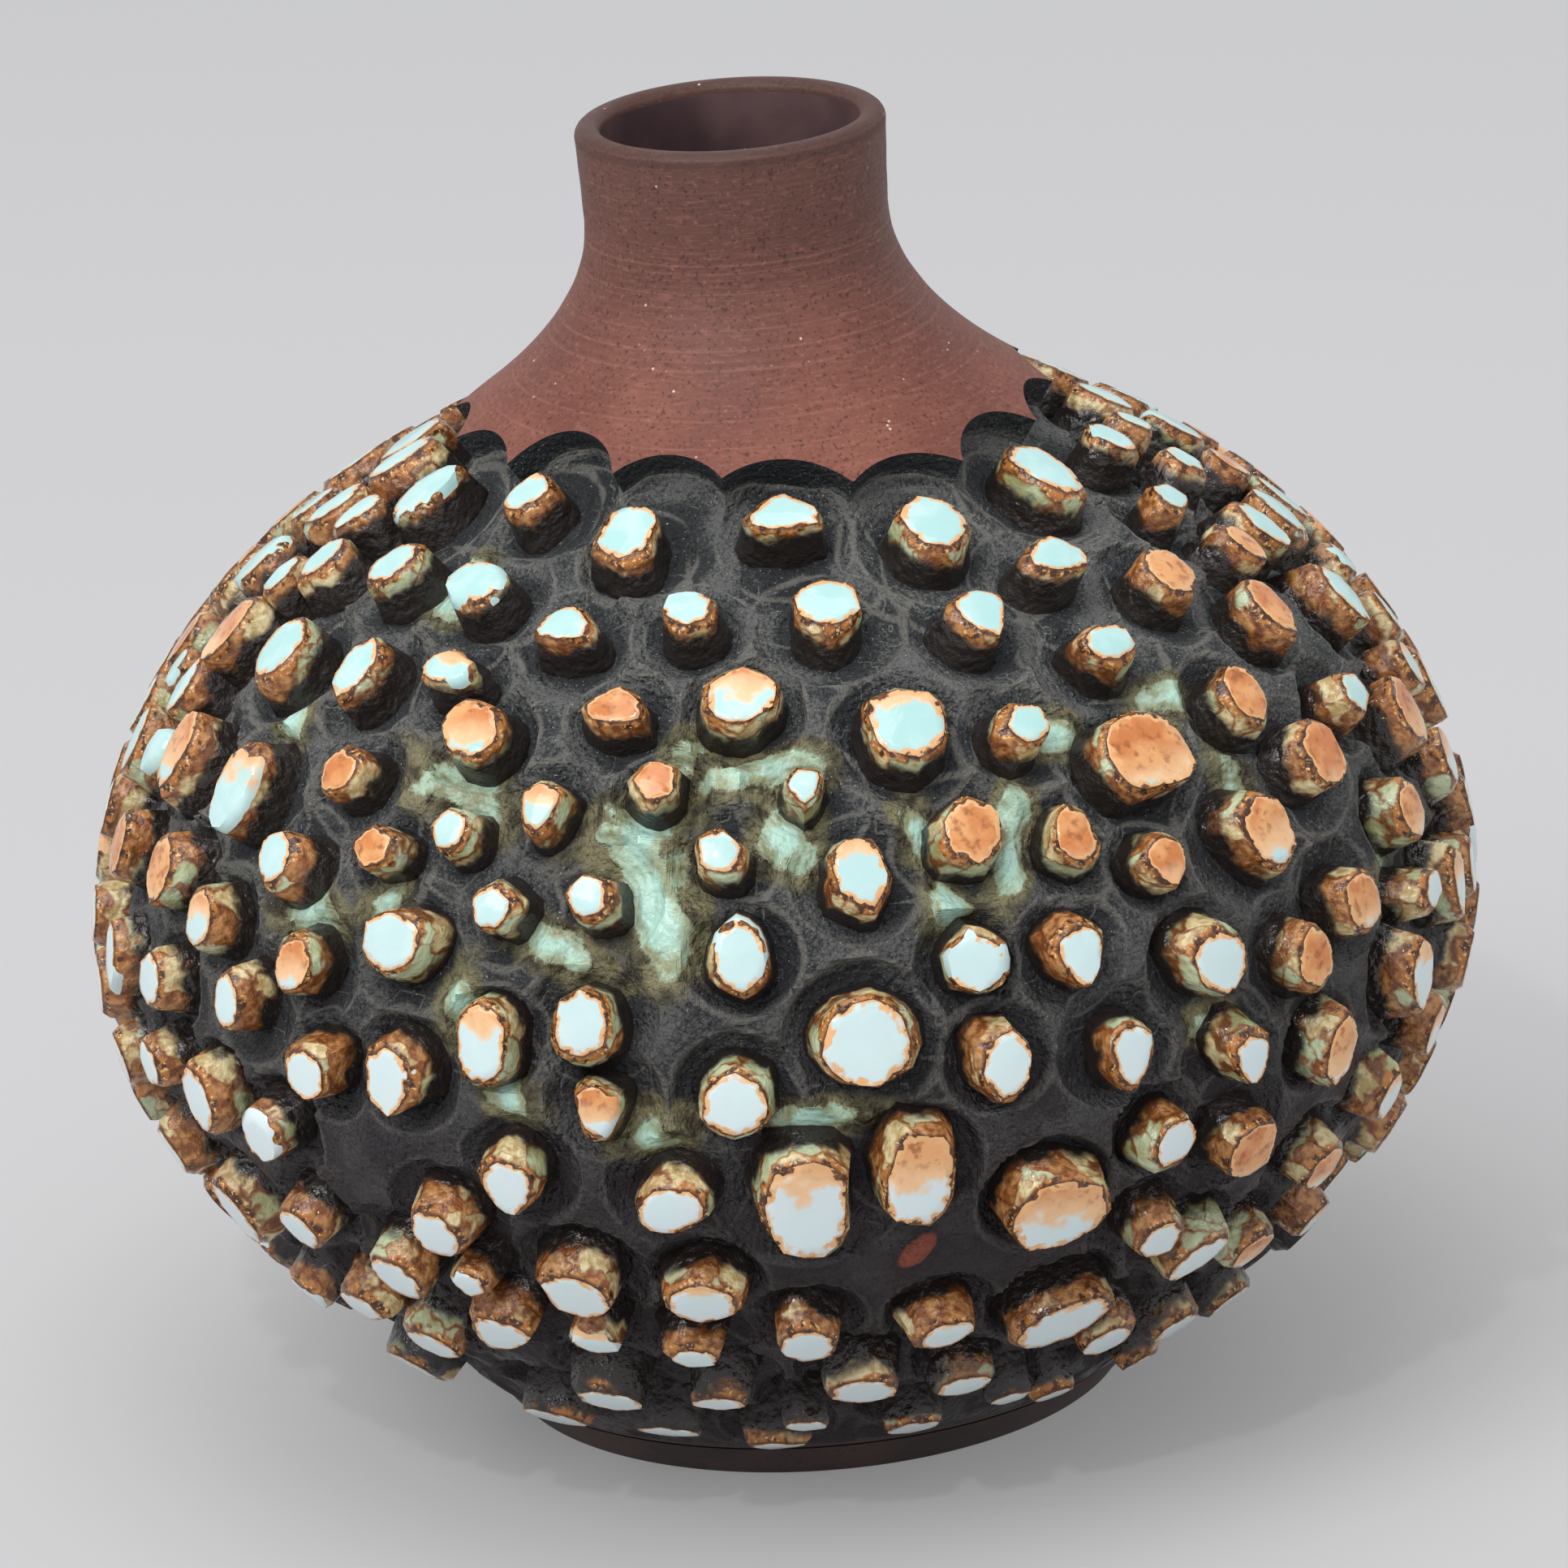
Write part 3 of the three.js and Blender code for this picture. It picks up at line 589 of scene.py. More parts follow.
def grain(points, size, seed):  # smooth three-way noise from a few crossed waves
    total = np.zeros(points.shape[:-1])
    source = np.random.default_rng(seed)
    waves = 6
    for _ in range(waves):
        direction = source.normal(size=3)
        direction *= 2 * math.pi / size / np.linalg.norm(direction) * source.uniform(0.7, 1.4)
        total += np.sin(points @ direction + source.uniform(0, 2 * math.pi))
    return total / waves


def scoopList():  # centre, radius, depth, dish and the radius of the stud inside
    source = np.random.default_rng(11)
    scoops = []
    for stud in studs:
        reach = carving["scoopReach"] + source.normal(0, carving["scoopReachSpread"])
        deep = skinShape["carvingDepth"] + source.uniform(0, 1) * carving["scoopDepthSpread"]
        dish = carving["scoopDish"] + source.uniform(-1, 1) * carving["scoopDishSpread"]
        scoops.append((stud["centre"], stud["radius"] + reach, deep, dish, stud["radius"]))
    for lon, lat, radius in allEdgeScoops():
        deep = skinShape["carvingDepth"] * carving["upperEdgeShare"]
        core = carving["upperEdgeCore"]
        scoops.append((place(lon, lat), radius * mm, deep, carving["scoopDish"], core))
    return scoops


def carve(longitude, latitude):  # depth under the skin, and marks for the finish
    points = place(longitude, latitude).reshape(-1, 3)
    ridge = 1.5 * carving["grainDepth"] * grain(points, carving["ridgeGrainSize"], seed=3)
    ridge = carving["ridgeDepth"] + ridge
    depth = ridge.copy()
    rim = np.full(len(points), carving["far"])
    ring = np.full(len(points), carving["far"])
    for centre, radius, deep, dish, core in scoopList():
        near = np.nonzero(np.abs(points - centre).max(1) < radius + 3 * mm)[0]
        distance = np.linalg.norm(points[near] - centre, axis=1)
        waver = grain(points[near], carving["edgeWaverSize"], seed=5)
        distance = distance + carving["edgeWaver"] * waver
        out = (distance - radius) / mm
        inside = 1 - smoothstep(distance, radius - carving["rimWidth"], radius)
        climb = dish * np.clip((distance - core) / (radius - core), 0, 1) ** 2
        turns = carving["ringDepth"] * np.sin(2 * math.pi * distance / carving["ringWidth"])
        made = ridge[near] + (deep - climb + turns - ridge[near]) * inside
        deeper = (made > depth[near]) & (inside > 0)
        depth[near[deeper]] = made[deeper]
        ring[near[deeper]] = (distance[deeper] - core) / mm
        rim[near] = np.where(np.abs(out) < np.abs(rim[near]), out, rim[near])
    depth += carving["grainDepth"] * grain(points, carving["grainSize"], seed=9)
    pool = np.zeros(len(points))
    for lon, lat, wide, high, turn in glazePools:
        shape = oval(points, lon, lat, wide * mm, high * mm, turn)
        pool = np.maximum(pool, np.clip(carving["poolReach"] - shape, 0, carving["poolReach"]))
    depth -= carving["poolThick"] * smoothstep(pool, *carving["poolEdge"])
    scar = oval(points, *bareScar.values())
    depth -= carving["scarDepth"] * (1 - smoothstep(scar, *carving["scarEdge"]))
    scar = np.clip(carving["scarReach"] - scar, 0, carving["scarReach"])
    marks = {"rim": rim, "ring": ring, "pool": pool, "scar": scar}
    shape = np.shape(latitude)
    full = carvedAt(latitude) / skinShape["carvingDepth"]
    return depth.reshape(shape) * full, {k: v.reshape(shape) for k, v in marks.items()}


# The two bowls: a fine grid is rolled up round the axis, with the outside, the rim of the joint
# and the inside as its rows.

bowls = {
    "columns": 780,
    "groundRows": 94,
    "wallRows": 3,
    "shoulderRows": 18,
    "shoulderCrowding": 1.25,
    "insideRows": 7,
    "bareBelow": -51.5,
    "weld": 0.0001 * mm,
    "sharp": 45,
    "plainMarks": {"rim": 9, "ring": 1.9, "pool": 0, "scar": 0},
}


def rollUp(name, positions, marks, slotOfRow, materials):
    rows, columns = positions.shape[:2]
    bpy.ops.mesh.primitive_grid_add(x_subdivisions=columns, y_subdivisions=rows, size=1)
    piece = bpy.context.object
    piece.name = name
    mesh = piece.data
    mesh.name = name
    flat = readThrees(mesh.vertices, "co")
    column = np.round((flat[:, 0] + 0.5) * columns).astype(int) % columns
    row = np.round((flat[:, 1] + 0.5) * rows).astype(int) % rows
    centres = readThrees(mesh.polygons, "center")
    faceRow = np.floor((centres[:, 1] + 0.5) * rows).astype(int)
    mesh.polygons.foreach_set("material_index", slotOfRow[faceRow])
    mesh.vertices.foreach_set("co", positions[row, column].astype(np.float32).ravel())
    for key, values in marks.items():
        setMark(mesh, key, values[row, column])
    for material in materials:
        mesh.materials.append(material)
    cleanUp(piece, bowls["weld"], bowls["sharp"])
    return piece


def stacked(*parts):  # rows of latitude, rows of depth
    return np.vstack([p[0] for p in parts]), np.vstack([p[1] for p in parts])


def padded(marks, rows):  # the marks only lie on the ground, so the other rows get a plain value
    plain = bowls["plainMarks"]
    return {k: np.vstack([v, np.full((rows, v.shape[1]), plain[k])]) for k, v in marks.items()}


def makeUpperBowl(materials):
    b = bowls
    longitude = np.arange(b["columns"]) / b["columns"] * 360
    edge = edgeLatitude(longitude)
    share = np.linspace(0, 1, b["groundRows"])[:, None]
    groundLatitude = share * edge[None, :]
    depth, marks = carve(np.broadcast_to(longitude, groundLatitude.shape), groundLatitude)
    down = np.linspace(1, 0, b["wallRows"] + 1)[1:, None]
    wall = (np.broadcast_to(edge, (b["wallRows"], len(edge))), down * depth[-1])
    climb = np.linspace(0, 1, b["shoulderRows"] + 1)[1:, None] ** b["shoulderCrowding"]
    shoulderLatitude = edge + climb * (skinShape["neckSeam"] - edge)
    shoulder = (shoulderLatitude, 0 * shoulderLatitude)
    insideLatitude = np.linspace(skinShape["neckSeam"], 0, b["insideRows"])[:, None] + 0 * edge
    inside = (insideLatitude, wallAt(insideLatitude))
    latitude, depth = stacked((groundLatitude, depth), wall, shoulder, inside)
    rest = len(latitude) - b["groundRows"]
    slots = np.zeros(len(latitude), np.int32)
    slots[b["groundRows"] + b["wallRows"] - 1 :] = 1
    slots[len(latitude) - b["insideRows"] :] = 2
    positions = place(longitude[None, :], latitude, depth)
    return rollUp("upperBowl", positions, padded(marks, rest), slots, materials)


def makeLowerBowl(materials):
    b = bowls
    longitude = np.arange(b["columns"]) / b["columns"] * 360
    foot = skinLatitude[0]
    latitude = np.linspace(0, foot, b["groundRows"])[:, None] + 0 * longitude
    depth, marks = carve(np.broadcast_to(longitude, latitude.shape), latitude)
    outside = place(longitude[None, :], latitude, depth)
    insideLatitude = np.linspace(foot, 0, b["insideRows"] + 4)[:, None] + 0 * longitude
    inside = place(longitude[None, :], insideLatitude, wallAt(insideLatitude))
    hole = inside[:1].copy()
    hole[..., 2] = skinShape["footHeight"]
    positions = np.concatenate([outside, hole, inside])
    slots = np.zeros(len(positions), np.int32)
    slots[: len(latitude)][latitude[:, 0] < b["bareBelow"]] = 1
    slots[len(latitude) :] = 2
    rest = len(positions) - len(latitude)
    return rollUp("lowerBowl", positions, padded(marks, rest), slots, materials)


# Turned pieces: a ring is pulled up point by point, as a wall is on the wheel.

turning = {
    "sides": 256,
    "waver": 0.05 * mm,
    "waverLengths": (1.3 * mm, 3.1 * mm),
    "weld": 0.002 * mm,
}


def turnPiece(name, profile, material):
    (radius, height), *others = profile
    bpy.ops.mesh.primitive_circle_add(
        vertices=turning["sides"], radius=radius, location=(0, 0, height)
    )
    piece = bpy.context.object
    piece.name = name
    piece.data.name = name
    bpy.ops.object.transform_apply(location=True)
    bpy.ops.object.mode_set(mode="EDIT")
    bpy.ops.mesh.select_all(action="SELECT")
    for nextRadius, nextHeight in [*others, profile[0]]:
        bpy.ops.mesh.extrude_region_move(
            TRANSFORM_OT_translate={"value": (0, 0, nextHeight - height)}
        )
        grow = nextRadius / radius
        bpy.ops.transform.resize(value=(grow, grow, 1))
        radius, height = nextRadius, nextHeight
    cleanUp(piece, turning["weld"])
    piece.data.materials.append(material)
    return piece


neck = {
    "rimRound": 1.85 * mm,
    "rimTurns": (0, 20, 40, 60, 75, 90),
    "rows": 34,
    "insideRows": 14,
    "insideTop": 79.2,
    "bareTop": 3 * mm,
    "glazeReach": 4 * mm,
}


def makeNeck(material):
    wall, seam, rim = skinShape["neckWall"], skinShape["neckSeam"], neck["rimRound"]
    latitudes = np.linspace(seam, skinLatitude[-1], neck["rows"])
    radius, height, outRadius, outHeight = skinAt(latitudes)
    lipStart = topHeight - rim
    short, long = turning["waverLengths"]
    waver = turning["waver"] * np.sin(height / short) * np.sin(height / long + 1)
    outer = [(r + w, z) for r, z, w in zip(radius, height, waver) if z < lipStart]
    outRim = skinShape["rimRadius"] - rim
    inRim = skinShape["rimRadius"] - wall + rim
    turns = np.radians(neck["rimTurns"])
    lip = [(outRim + rim * math.cos(a), lipStart + rim * math.sin(a)) for a in turns]
    lip += [(inRim - rim * math.cos(a), lipStart + rim * math.sin(a)) for a in turns[::-1]]
    inner = [
        (r - wall * nr, z - wall * nz)
        for r, z, nr, nz in zip(*skinAt(np.linspace(neck["insideTop"], seam, neck["insideRows"])))
        if z - wall * nz < lipStart - 1 * mm
    ]
    return turnPiece("neck", outer + lip + inner, material)


foot = {
    "outer": 52 * mm,
    "width": 12 * mm,
    "height": 6.3 * mm,
    "round": 1.2 * mm,
}


def makeFoot(material):
    outer, inner = foot["outer"], foot["outer"] - foot["width"]
    soft = foot["round"]
    profile = [
        (inner + soft, 0),
        (outer - soft, 0),
        (outer - 0.3 * soft, 0.3 * soft),
        (outer + 0.1 * soft, soft),
        ((outer + skinShape["bowlStart"]) / 2, foot["height"] / 2),
        (skinShape["bowlStart"], foot["height"]),
        (inner, foot["height"]),
        (inner, soft),
        (inner + 0.3 * soft, 0.3 * soft),
    ]
    return turnPiece("foot", profile, material)


# Finishes. Colours are written as they look, from 0 to 255, and named beside each finish.


def tone(red, green, blue):
    def linear(c):
        c = c / 255
        return c / 12.92 if c <= 0.04045 else ((c + 0.055) / 1.055) ** 2.4

    return (linear(red), linear(green), linear(blue), 1.0)


def tones(**colours):
    return {name: tone(*colour) for name, colour in colours.items()}


class Finish:
    def __init__(self, name, roughness):
        self.material = bpy.data.materials.new(name)
        self.material.use_nodes = True
        self.tree = self.material.node_tree
        self.shader = self.tree.nodes["Principled BSDF"]
        self.shader.inputs["Roughness"].default_value = roughness
        self.place = self.add("TexCoord").outputs["Object"]

    def add(self, kind, inputs=(), **settings):
        made = self.tree.nodes.new("ShaderNode" + kind)
        for key, value in settings.items():
            setattr(made, key, value)
        for key, value in dict(inputs).items():
            if isinstance(value, bpy.types.NodeSocket):
                self.tree.links.new(value, made.inputs[key])
            else:
                made.inputs[key].default_value = value
        return made

    def mark(self, name):
        return self.add("Attribute", attribute_name=name).outputs["Fac"]

    def noise(self, scale, detail, at=None):
        at = self.place if at is None else at
        inputs = {"Vector": at, "Scale": scale, "Detail": detail}
        return self.add("TexNoise", inputs).outputs["Fac"]

    def cells(self, scale, bend):  # how near the edge of a cell is, and a chance number per cell
        wave = self.add("TexNoise", {"Vector": self.place, "Scale": scale * 1.6})
        shift = self.add(
            "VectorMath", {0: wave.outputs["Color"], 1: (bend,) * 3}, operation="MULTIPLY"
        )
        moved = self.add(
            "VectorMath", {0: self.place, 1: shift.outputs["Vector"]}, operation="ADD"
        )
        inputs = {"Vector": moved.outputs["Vector"], "Scale": scale}
        edge = self.add("TexVoronoi", inputs, feature="DISTANCE_TO_EDGE")
        cell = self.add("TexVoronoi", inputs)
        chance = self.add("SeparateColor", {0: cell.outputs["Color"]})
        return edge.outputs["Distance"], chance.outputs["Red"]

    def height(self):
        return self.add("SeparateXYZ", {"Vector": self.place}).outputs["Z"]

    def between(self, value, low, high, start=0.0, end=1.0):
        return self.add(
            "MapRange",
            {"Value": value, "From Min": low, "From Max": high, "To Min": start, "To Max": end},
            interpolation_type="SMOOTHSTEP",
        ).outputs["Result"]

    def maths(self, operation, a, b=0.0):
        made = self.add("Math", {0: a, 1: b}, operation=operation)
        return made.outputs["Value"]

    def times(self, a, b):
        return self.maths("MULTIPLY", a, b)

    def total(self, value, *others):
        for other in others:
            value = self.maths("ADD", value, other)
        return value

    def mix(self, share, a, b):
        made = self.add("Mix", {0: share, 6: a, 7: b}, data_type="RGBA")
        return made.outputs[2]

    def layered(self, colour, *layers):  # each layer: a value, where it runs, its share, its tone
        for value, low, high, share, laid in layers:
            colour = self.mix(self.between(value, low, high, 0, share), colour, laid)
        return colour

    def paint(self, colour):
        self.tree.links.new(colour, self.shader.inputs["Base Color"])

    def gloss(self, value):
        self.tree.links.new(value, self.shader.inputs["Roughness"])

    def bump(self, height, distance, strength=1.0, under=None):
        inputs = {"Height": height, "Distance": distance, "Strength": strength}
        if under is not None:
            inputs["Normal"] = under
        made = self.add("Bump", inputs)
        self.tree.links.new(made.outputs["Normal"], self.shader.inputs["Normal"])
        return made.outputs["Normal"]


clayTones = tones(
    dark=(106, 57, 45),
    light=(130, 78, 64),
    neckGrey=(90, 64, 58),
    paleLine=(164, 112, 96),
    darkLine=(84, 46, 38),
    paleStreak=(152, 102, 88),
    darkStreak=(78, 44, 36),
    band=(84, 50, 43),
    darkGrit=(60, 36, 31),
    paleGrit=(168, 122, 108),
    rim=(58, 38, 34),
    speck=(205, 180, 165),
)


def bareClayFinish():
    f = Finish("bareClay", 0.62)
    t = clayTones
    f.shader.inputs["Specular IOR Level"].default_value = 0.3
    height = f.height()
    turned = f.add("CombineXYZ", {"Z": height}).outputs["Vector"]
    flat = f.add("Mapping", {"Vector": f.place, "Scale": (0.22, 0.22, 1.0)})
    lines = f.noise(1500, 4, turned)
    bands = f.noise(260, 2, turned)
    streak = f.noise(2100, 4, flat.outputs["Vector"])
    cloud = f.noise(38, 5)
    grit = f.noise(1500, 3)
    colour = f.mix(f.between(cloud, 0.35, 0.7), t["dark"], t["light"])
    colour = f.layered(
        colour,
        (height, 0.165, 0.212, 0.75, t["neckGrey"]),
        (lines, 0.5, 0.75, 0.4, t["paleLine"]),
        (lines, 0.48, 0.25, 0.35, t["darkLine"]),
        (streak, 0.52, 0.7, 0.28, t["paleStreak"]),
        (streak, 0.46, 0.3, 0.28, t["darkStreak"]),
        (bands, 0.5, 0.7, 0.3, t["band"]),
        (grit, 0.56, 0.7, 0.8, t["darkGrit"]),
        (grit, 0.38, 0.26, 0.35, t["paleGrit"]),
        (height, 0.2125, 0.2148, 0.6, t["rim"]),
    )
    specks = f.add("TexVoronoi", {"Vector": f.place, "Scale": 620}).outputs["Distance"]
    pale = f.times(f.between(specks, 0.2, 0.1), f.between(f.noise(300, 2), 0.36, 0.3))
    f.paint(f.mix(pale, colour, t["speck"]))
    f.gloss(f.between(cloud, 0.3, 0.7, 0.5, 0.68))
    first = f.bump(lines, 0.12 * mm, 0.5)
    f.bump(grit, 0.12 * mm, 0.5, first)
    return f.material


groundTones = tones(
    low=(34, 25, 29),
    high=(40, 43, 45),
    # pale dust, whose mask also paints light and shade
    dust=(100, 100, 98),
    # ridge: dust on the scoop rims and a painted highlight along them
    ridge=(122, 120, 114),
    # painted shadow: the dark ground round each stud's foot
    besideStud=(22, 20, 20),
    darkFilm=(62, 54, 34),
    paleFilm=(128, 122, 88),
    olivePool=(140, 142, 108),
    greenPool=(166, 192, 168),
    turquoisePool=(174, 212, 198),
    glint=(178, 178, 172),
    scar=(128, 66, 48),
)


def groundFinish():
    f = Finish("carvedGround", 0.7)
    t = groundTones
    f.shader.inputs["Specular IOR Level"].default_value = 0.35
    height, ring, puddle = f.height(), f.mark("ring"), f.mark("pool")
    grit = f.noise(2100, 2)
    patch = f.noise(110, 4)
    runs = f.noise(260, 3)
    colour = f.mix(f.between(height, 0.04, 0.14), t["low"], t["high"])
    # Pale dust and painted shade: the ring term darkens the ground in the hollow beside each stud
    # and lightens it on the raised ground farther out
    paintedHollowShade = f.between(ring, 1.5, 6.5, -0.18, 0.16)
    dust = f.total(grit, paintedHollowShade, f.between(patch, 0.3, 0.7, -0.24, 0.16))
    dust = f.between(dust, 0.4, 0.82, 0, 0.85)
    dust = f.times(dust, f.between(height, 0.05, 0.14, 0.12, 1))
    colour = f.mix(dust, colour, t["dust"])
    # Painted highlight along the scoop rims, laid together with dust on the ridges
    ridge = f.total(f.maths("ABSOLUTE", f.mark("rim")), f.between(patch, 0.3, 0.7, -0.4, 0.5))
    ridge = f.times(f.between(ridge, 0.7, 0, 0, 0.62), f.between(height, 0.05, 0.13, 0.25, 1))
    colour = f.mix(ridge, colour, t["ridge"])
    # Painted shadow: a dark ring on the ground round the foot of each stud
    colour = f.layered(colour, (ring, 2.4, 0.2, 0.5, t["besideStud"]))
    edge = f.total(puddle, f.between(patch, 0.3, 0.7, -0.5, 0.5), f.times(grit, 0.3))
    film = f.mix(f.between(runs, 0.35, 0.6), t["darkFilm"], t["paleFilm"])
    spread = f.times(f.between(edge, 0.2, 1.3, 0, 0.9), f.between(puddle, 0, 0.5))
    colour = f.mix(spread, colour, film)
    pale = f.mix(f.between(runs, 0.35, 0.65), t["olivePool"], t["greenPool"])
    pale = f.layered(pale, (edge, 1.85, 2.35, 0.9, t["turquoisePool"]))
    pool = f.between(edge, 1.42, 1.7)
    colour = f.mix(pool, colour, pale)
    glint = f.between(f.noise(2600, 1), 0.7, 0.76, 0, 0.7)
    glint = f.times(glint, f.between(height, 0.06, 0.13))
    colour = f.mix(glint, colour, t["glint"])
    f.paint(f.layered(colour, (f.mark("scar"), 0.5, 0.75, 1, t["scar"])))
    wet = f.times(f.between(f.noise(120, 2), 0.4, 0.62), f.between(height, 0.13, 0.05))
    f.gloss(f.times(f.between(wet, 0, 1, 0.72, 0.24), f.between(edge, 0.9, 1.6, 1, 0.2)))
    lumps = f.bump(f.noise(340, 3), 2.2 * mm, 0.55)
    rough = f.times(f.noise(1000, 4), f.between(pool, 0, 1, 1, 0.15))
    first = f.bump(rough, 1.5 * mm, 0.9, lumps)
    toolMarks = f.maths("SINE", f.times(ring, 4.6))
    second = f.bump(toolMarks, 0.12 * mm, 0.35, first)
    f.bump(pool, 0.3 * mm, 0.6, second)
    return f.material


studTones = tones(
    lowWhite=(210, 221, 223),
    highWhite=(168, 208, 205),
    paleCloud=(200, 224, 222),
    orange=(196, 118, 62),
    paleOrange=(220, 160, 104),
    rust=(146, 80, 38),
    blend=(232, 190, 146),
    rim=(222, 170, 116),
    cream=(178, 150, 98),
    paleCream=(214, 198, 152),
    green=(150, 148, 98),
    paleGreen=(184, 194, 158),
    honey=(124, 72, 36),
    paleHoney=(184, 132, 80),
    rib=(132, 74, 34),
    ribMiddle=(78, 42, 18),
    darkCrust=(70, 36, 14),
    crust=(172, 110, 52),
    paleCrust=(226, 184, 126),
    underRim=(66, 30, 11),
    # base: the stud's dark foot, and painted shade on its lower side
    base=(38, 32, 29),
)


def studFinish():
    f = Finish("studGlaze", 0.09)
    t = studTones
    height, depth, chance = f.height(), f.mark("depth"), f.mark("chance")
    fine = f.noise(1500, 3)
    medium = f.noise(620, 3)
    coarse = f.noise(190, 3)

    # The flat top: white, breaking to orange towards its upper side
    white = f.mix(f.between(height, 0.07, 0.145), t["lowWhite"], t["highWhite"])
    white = f.layered(white, (coarse, 0.4, 0.75, 0.6, t["paleCloud"]))
    climb = f.total(f.mark("uphill"), f.between(coarse, 0.2, 0.8, -0.4, 0.4))
    climb = f.maths("SUBTRACT", climb, f.between(f.mark("warmth"), 0, 1, 1.5, -1.6))
    orange = f.mix(f.between(coarse, 0.35, 0.65), t["orange"], t["paleOrange"])
    orange = f.layered(orange, (medium, 0.5, 0.7, 0.75, t["rust"]))
    orange = f.mix(f.between(climb, 0.0, 1.0), t["blend"], orange)
    top = f.mix(f.between(climb, -0.16, 0.16), white, orange)

    # The ragged edge of the top's glaze, with a spill over it here and there
    ragged = f.between(f.noise(480, 3), 0.25, 0.75, -0.6, 0.6)
    ragged = f.times(ragged, f.between(depth, 0.0, 0.06))
    edge = f.total(f.times(depth, 1 / 0.15), ragged)
    spill = f.total(f.noise(150, 2), f.between(chance, 0.5, 1, -0.3, 0.06))
    spill = f.maths("SUBTRACT", spill, f.between(height, 0.034, 0.024, 0, 0.3))
    edge = f.maths("SUBTRACT", edge, f.between(spill, 0.54, 0.66, 0, 12))
    top = f.layered(top, (edge, 0.25, 0.75, 1, t["rim"]))

    # The side: cells of honey, cream and green with brown ribs between them and a crust above
    near, cell = f.cells(170, 5 * mm)
    cell = f.total(cell, f.between(f.mark("green"), 0, 1, -0.3, 0.4))
    cream = f.mix(f.between(medium, 0.35, 0.65), t["cream"], t["paleCream"])
    green = f.mix(f.between(coarse, 0.35, 0.65), t["green"], t["paleGreen"])
    honey = f.mix(f.between(medium, 0.35, 0.65), t["honey"], t["paleHoney"])
    side = f.mix(f.between(cell, 0.3, 0.36), honey, cream)
    side = f.mix(f.between(cell, 0.62, 0.68), side, green)
    rib = f.total(near, f.between(coarse, 0.3, 0.7, -0.07, 0.07))
    side = f.layered(side, (rib, 0.12, 0.03, 0.85, t["rib"]), (rib, 0.03, 0.0, 0.6, t["ribMiddle"]))
    broken = f.total(depth, f.between(coarse, 0.3, 0.7, -0.8, 0.8))
    crust = f.mix(f.between(medium, 0.42, 0.54), t["darkCrust"], t["crust"])
    crust = f.layered(crust, (fine, 0.56, 0.66, 1, t["paleCrust"]))
    side = f.mix(f.between(broken, 1.5, 0.8), side, crust)
    side = f.layered(side, (depth, 0.75, 0.3, 0.75, t["underRim"]))
    # The stud's dark foot and painted shade: the side darkens towards the ground, and more so in
    # the top and bottom rows
    low = f.total(
        depth,
        f.between(coarse, 0.3, 0.7, -1.2, 1.2),
        f.between(height, 0.11, 0.15, 0, 1.9),
        f.between(height, 0.042, 0.022, 0, 5.0),
        f.between(chance, 0, 1, -0.8, 1.1),
        f.between(height, 0.019, 0.014, 0, -4.0),
    )
    side = f.layered(side, (low, 3.7, 5.8, 1, t["base"]))

    glazed = f.between(edge, 0.9, 1.6)
    f.paint(f.mix(f.between(edge, 0.95, 1.15), top, side))
    f.gloss(f.between(low, 5.5, 9, 0.09, 0.5))
    first = f.bump(f.times(medium, glazed), 1.0 * mm, 0.65)
    ribs = f.times(f.between(near, 0.0, 0.25, 1, 0), glazed)
    second = f.bump(ribs, 0.3 * mm, 0.4, first)
    f.bump(coarse, 0.6 * mm, 0.3, second)
    return f.material


insideTones = tones(
    dark=(66, 50, 52),
    light=(94, 72, 73),
)


def insideFinish():
    f = Finish("insideGlaze", 0.22)
    cloud = f.between(f.noise(60, 4), 0.35, 0.7)
    f.paint(f.mix(cloud, insideTones["dark"], insideTones["light"]))
    f.bump(f.noise(240, 3), 0.3 * mm, 0.3)
    return f.material


footTones = tones(
    dark=(44, 31, 30),
    light=(66, 45, 41),
    speck=(34, 24, 22),
)


def footFinish():
    f = Finish("footClay", 0.6)
    cloud = f.between(f.noise(70, 4), 0.35, 0.7)
    colour = f.mix(cloud, footTones["dark"], footTones["light"])
    f.paint(f.layered(colour, (f.noise(900, 3), 0.6, 0.72, 1, footTones["speck"])))
    f.bump(f.noise(1600, 4), 0.12 * mm, 0.5)
    return f.material


bareClay = bareClayFinish()
carvedGround = groundFinish()
studGlaze = studFinish()
insideGlaze = insideFinish()
footClay = footFinish()
print("finishes mixed")

upperBowl = makeUpperBowl([carvedGround, bareClay, insideGlaze])
lowerBowl = makeLowerBowl([carvedGround, footClay, insideGlaze])
print("bowls carved")
upperStuds = makeStuds("upperStuds", [s for s in studs if s["latitude"] >= 0])
lowerStuds = makeStuds("lowerStuds", [s for s in studs if s["latitude"] < 0])
for piece in (upperStuds, lowerStuds):
    piece.data.materials.append(studGlaze)
print("studs shaped")
neckPiece = makeNeck(bareClay)
neckPiece.data.materials.append(insideGlaze)
footPiece = makeFoot(footClay)
print("neck and foot turned")


def glazeInside(piece):  # the glaze inside the neck stops just under the rim
    widest = skinShape["neckRadius"] + neck["glazeReach"]
    highest = topHeight - neck["bareTop"]
    for face in piece.data.polygons:
        centre = face.center
        radius = math.hypot(centre.x, centre.y)
        toAxis = (face.normal.x * centre.x + face.normal.y * centre.y) < 0
        if toAxis and radius < widest and centre.z < highest:
            face.material_index = 1


glazeInside(neckPiece)

for name in ("base_disc", "floor_coil", "belly_coil", "neck_coil"):
    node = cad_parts[name]
    node.data.materials.clear()
    node.data.materials.append(footClay if name == "base_disc" else insideGlaze)

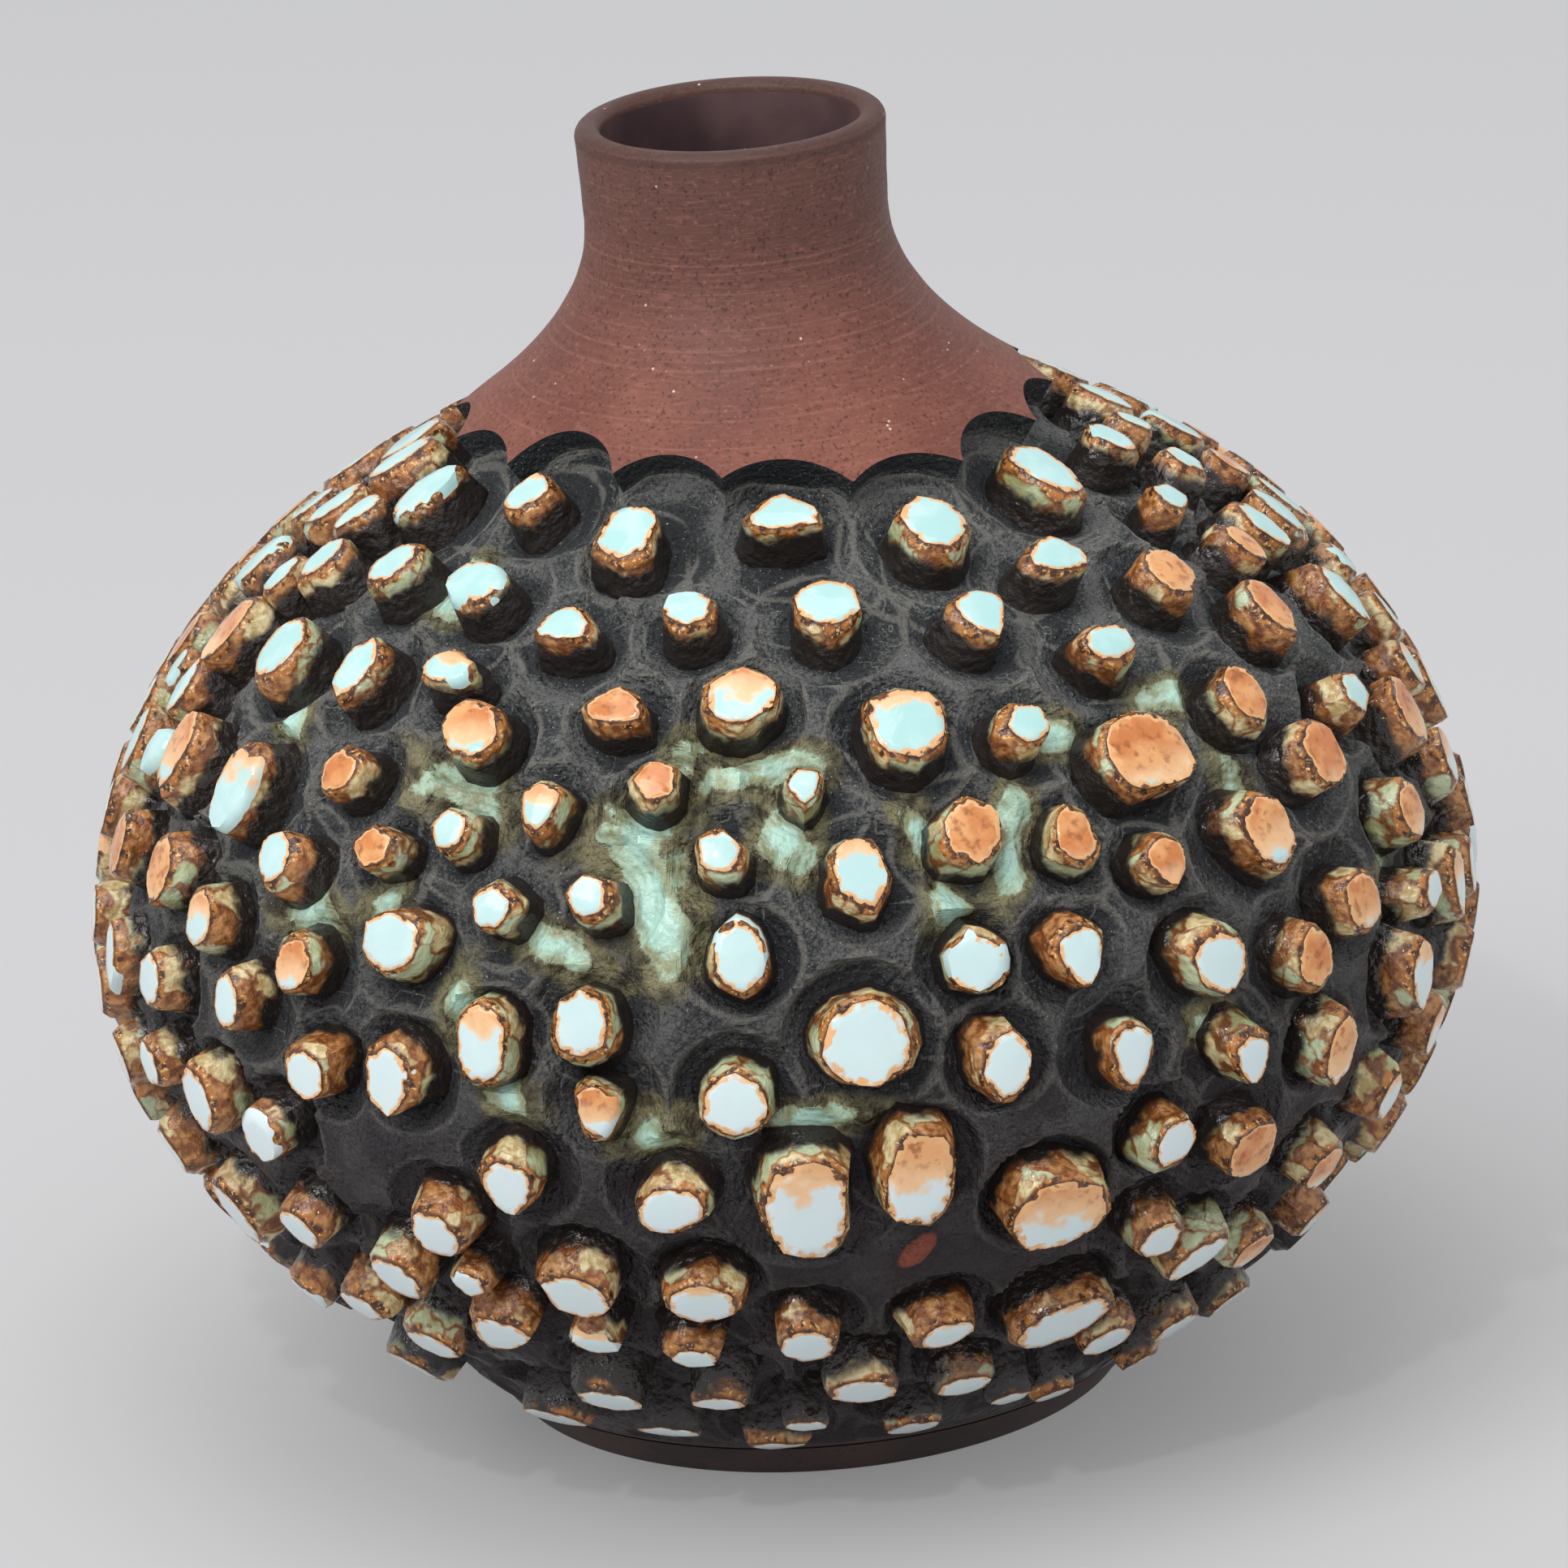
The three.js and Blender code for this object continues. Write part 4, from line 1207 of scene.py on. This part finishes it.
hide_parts("upper_bowl")
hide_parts("lower_bowl")
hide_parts("neck_collar")
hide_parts("foot_ring")
slots = {
    upperBowl: "carved_clay",
    lowerBowl: "carved_clay",
    upperStuds: "carved_clay",
    lowerStuds: "carved_clay",
    neckPiece: "bare_clay",
    footPiece: "foot_clay",
}
for piece, slot in slots.items():
    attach(piece, "root")


# The room: a wide pale floor and soft lamps.

room = {
    "width": 12.0,
    "colour": tone(190, 189, 190),
    "seen": tone(208, 208, 208),
    "seenShare": 0.28,
    "sky": tone(228, 230, 233),
    "lampsAim": (0, 0, 100 * mm),
}


def makeRoom():
    bpy.ops.mesh.primitive_plane_add(size=room["width"], location=(0, 0, 0))
    floor = bpy.context.object
    floor.name = "floor"
    f = Finish("floorPaper", 0.8)
    f.shader.inputs["Base Color"].default_value = room["colour"]
    glow = f.add("Emission", {"Color": room["seen"], "Strength": 1.0})
    path = f.add("LightPath").outputs
    seen = f.maths("MAXIMUM", path["Is Camera Ray"], path["Is Glossy Ray"])
    seen = f.maths("MAXIMUM", seen, path["Is Transmission Ray"])
    both = f.add(
        "MixShader",
        {
            0: f.maths("MULTIPLY", seen, room["seenShare"]),
            1: f.shader.outputs[0],
            2: glow.outputs[0],
        },
    )
    f.tree.links.new(both.outputs[0], f.tree.nodes["Material Output"].inputs["Surface"])
    floor.data.materials.append(f.material)
    floor.select_set(False)


lamps = [
    {"name": "key", "at": (-1.3, -1.3, 1.9), "size": 1.2, "watts": 22},
    {"name": "fill", "at": (1.6, -1.8, 1.0), "size": 1.6, "watts": 1.5},
    {"name": "top", "at": (-0.1, -0.35, 2.0), "size": 1.4, "watts": 13},
    {"name": "spark", "at": (-0.45, -1.5, 1.75), "size": 0.08, "watts": 7},
]


def makeLamps():
    for lamp in lamps:
        bpy.ops.object.light_add(type="AREA", location=lamp["at"])
        light = bpy.context.object
        light.name = lamp["name"]
        light.data.size = lamp["size"]
        light.data.energy = lamp["watts"]
        aim = Vector(room["lampsAim"]) - light.location
        light.rotation_euler = aim.to_track_quat("-Z", "Y").to_euler()
        light.select_set(False)
    world = bpy.data.worlds.new("room")
    world.use_nodes = True
    background = world.node_tree.nodes["Background"].inputs
    background["Color"].default_value = room["sky"]
    bpy.context.scene.world = world


# The camera stands where the photograph was taken from, by its fit to the vase's outline.

camera = {
    "aim": (0, 0, 96.8 * mm),
    "distance": 1.5059,
    "elevation": 19.04,
    "roll": 4.10,
    "sensor": 36,
    "lens": 209.0,
    "shift": (6 / 1932, 34 / 1932),
}


def makeCamera():
    up, roll = math.radians(camera["elevation"]), math.radians(camera["roll"])
    back = Vector((0, -math.cos(up), math.sin(up)))
    right = Vector((1, 0, 0))
    above = back.cross(right)
    imageRight = right * math.cos(roll) - above * math.sin(roll)
    imageUp = right * math.sin(roll) + above * math.cos(roll)
    bpy.ops.object.camera_add()
    view = bpy.context.object
    turn = Matrix((imageRight, imageUp, back)).transposed().to_4x4()
    view.matrix_world = Matrix.Translation(
        Vector(camera["aim"]) + back * camera["distance"]
    ) @ turn
    view.data.sensor_width = camera["sensor"]
    view.data.lens = camera["lens"]
    view.data.shift_x, view.data.shift_y = camera["shift"]
    view.select_set(False)
    bpy.context.scene.camera = view


makeRoom()
makeLamps()
makeCamera()
bpy.context.scene.view_settings.view_transform = "Standard"
print("room lit")
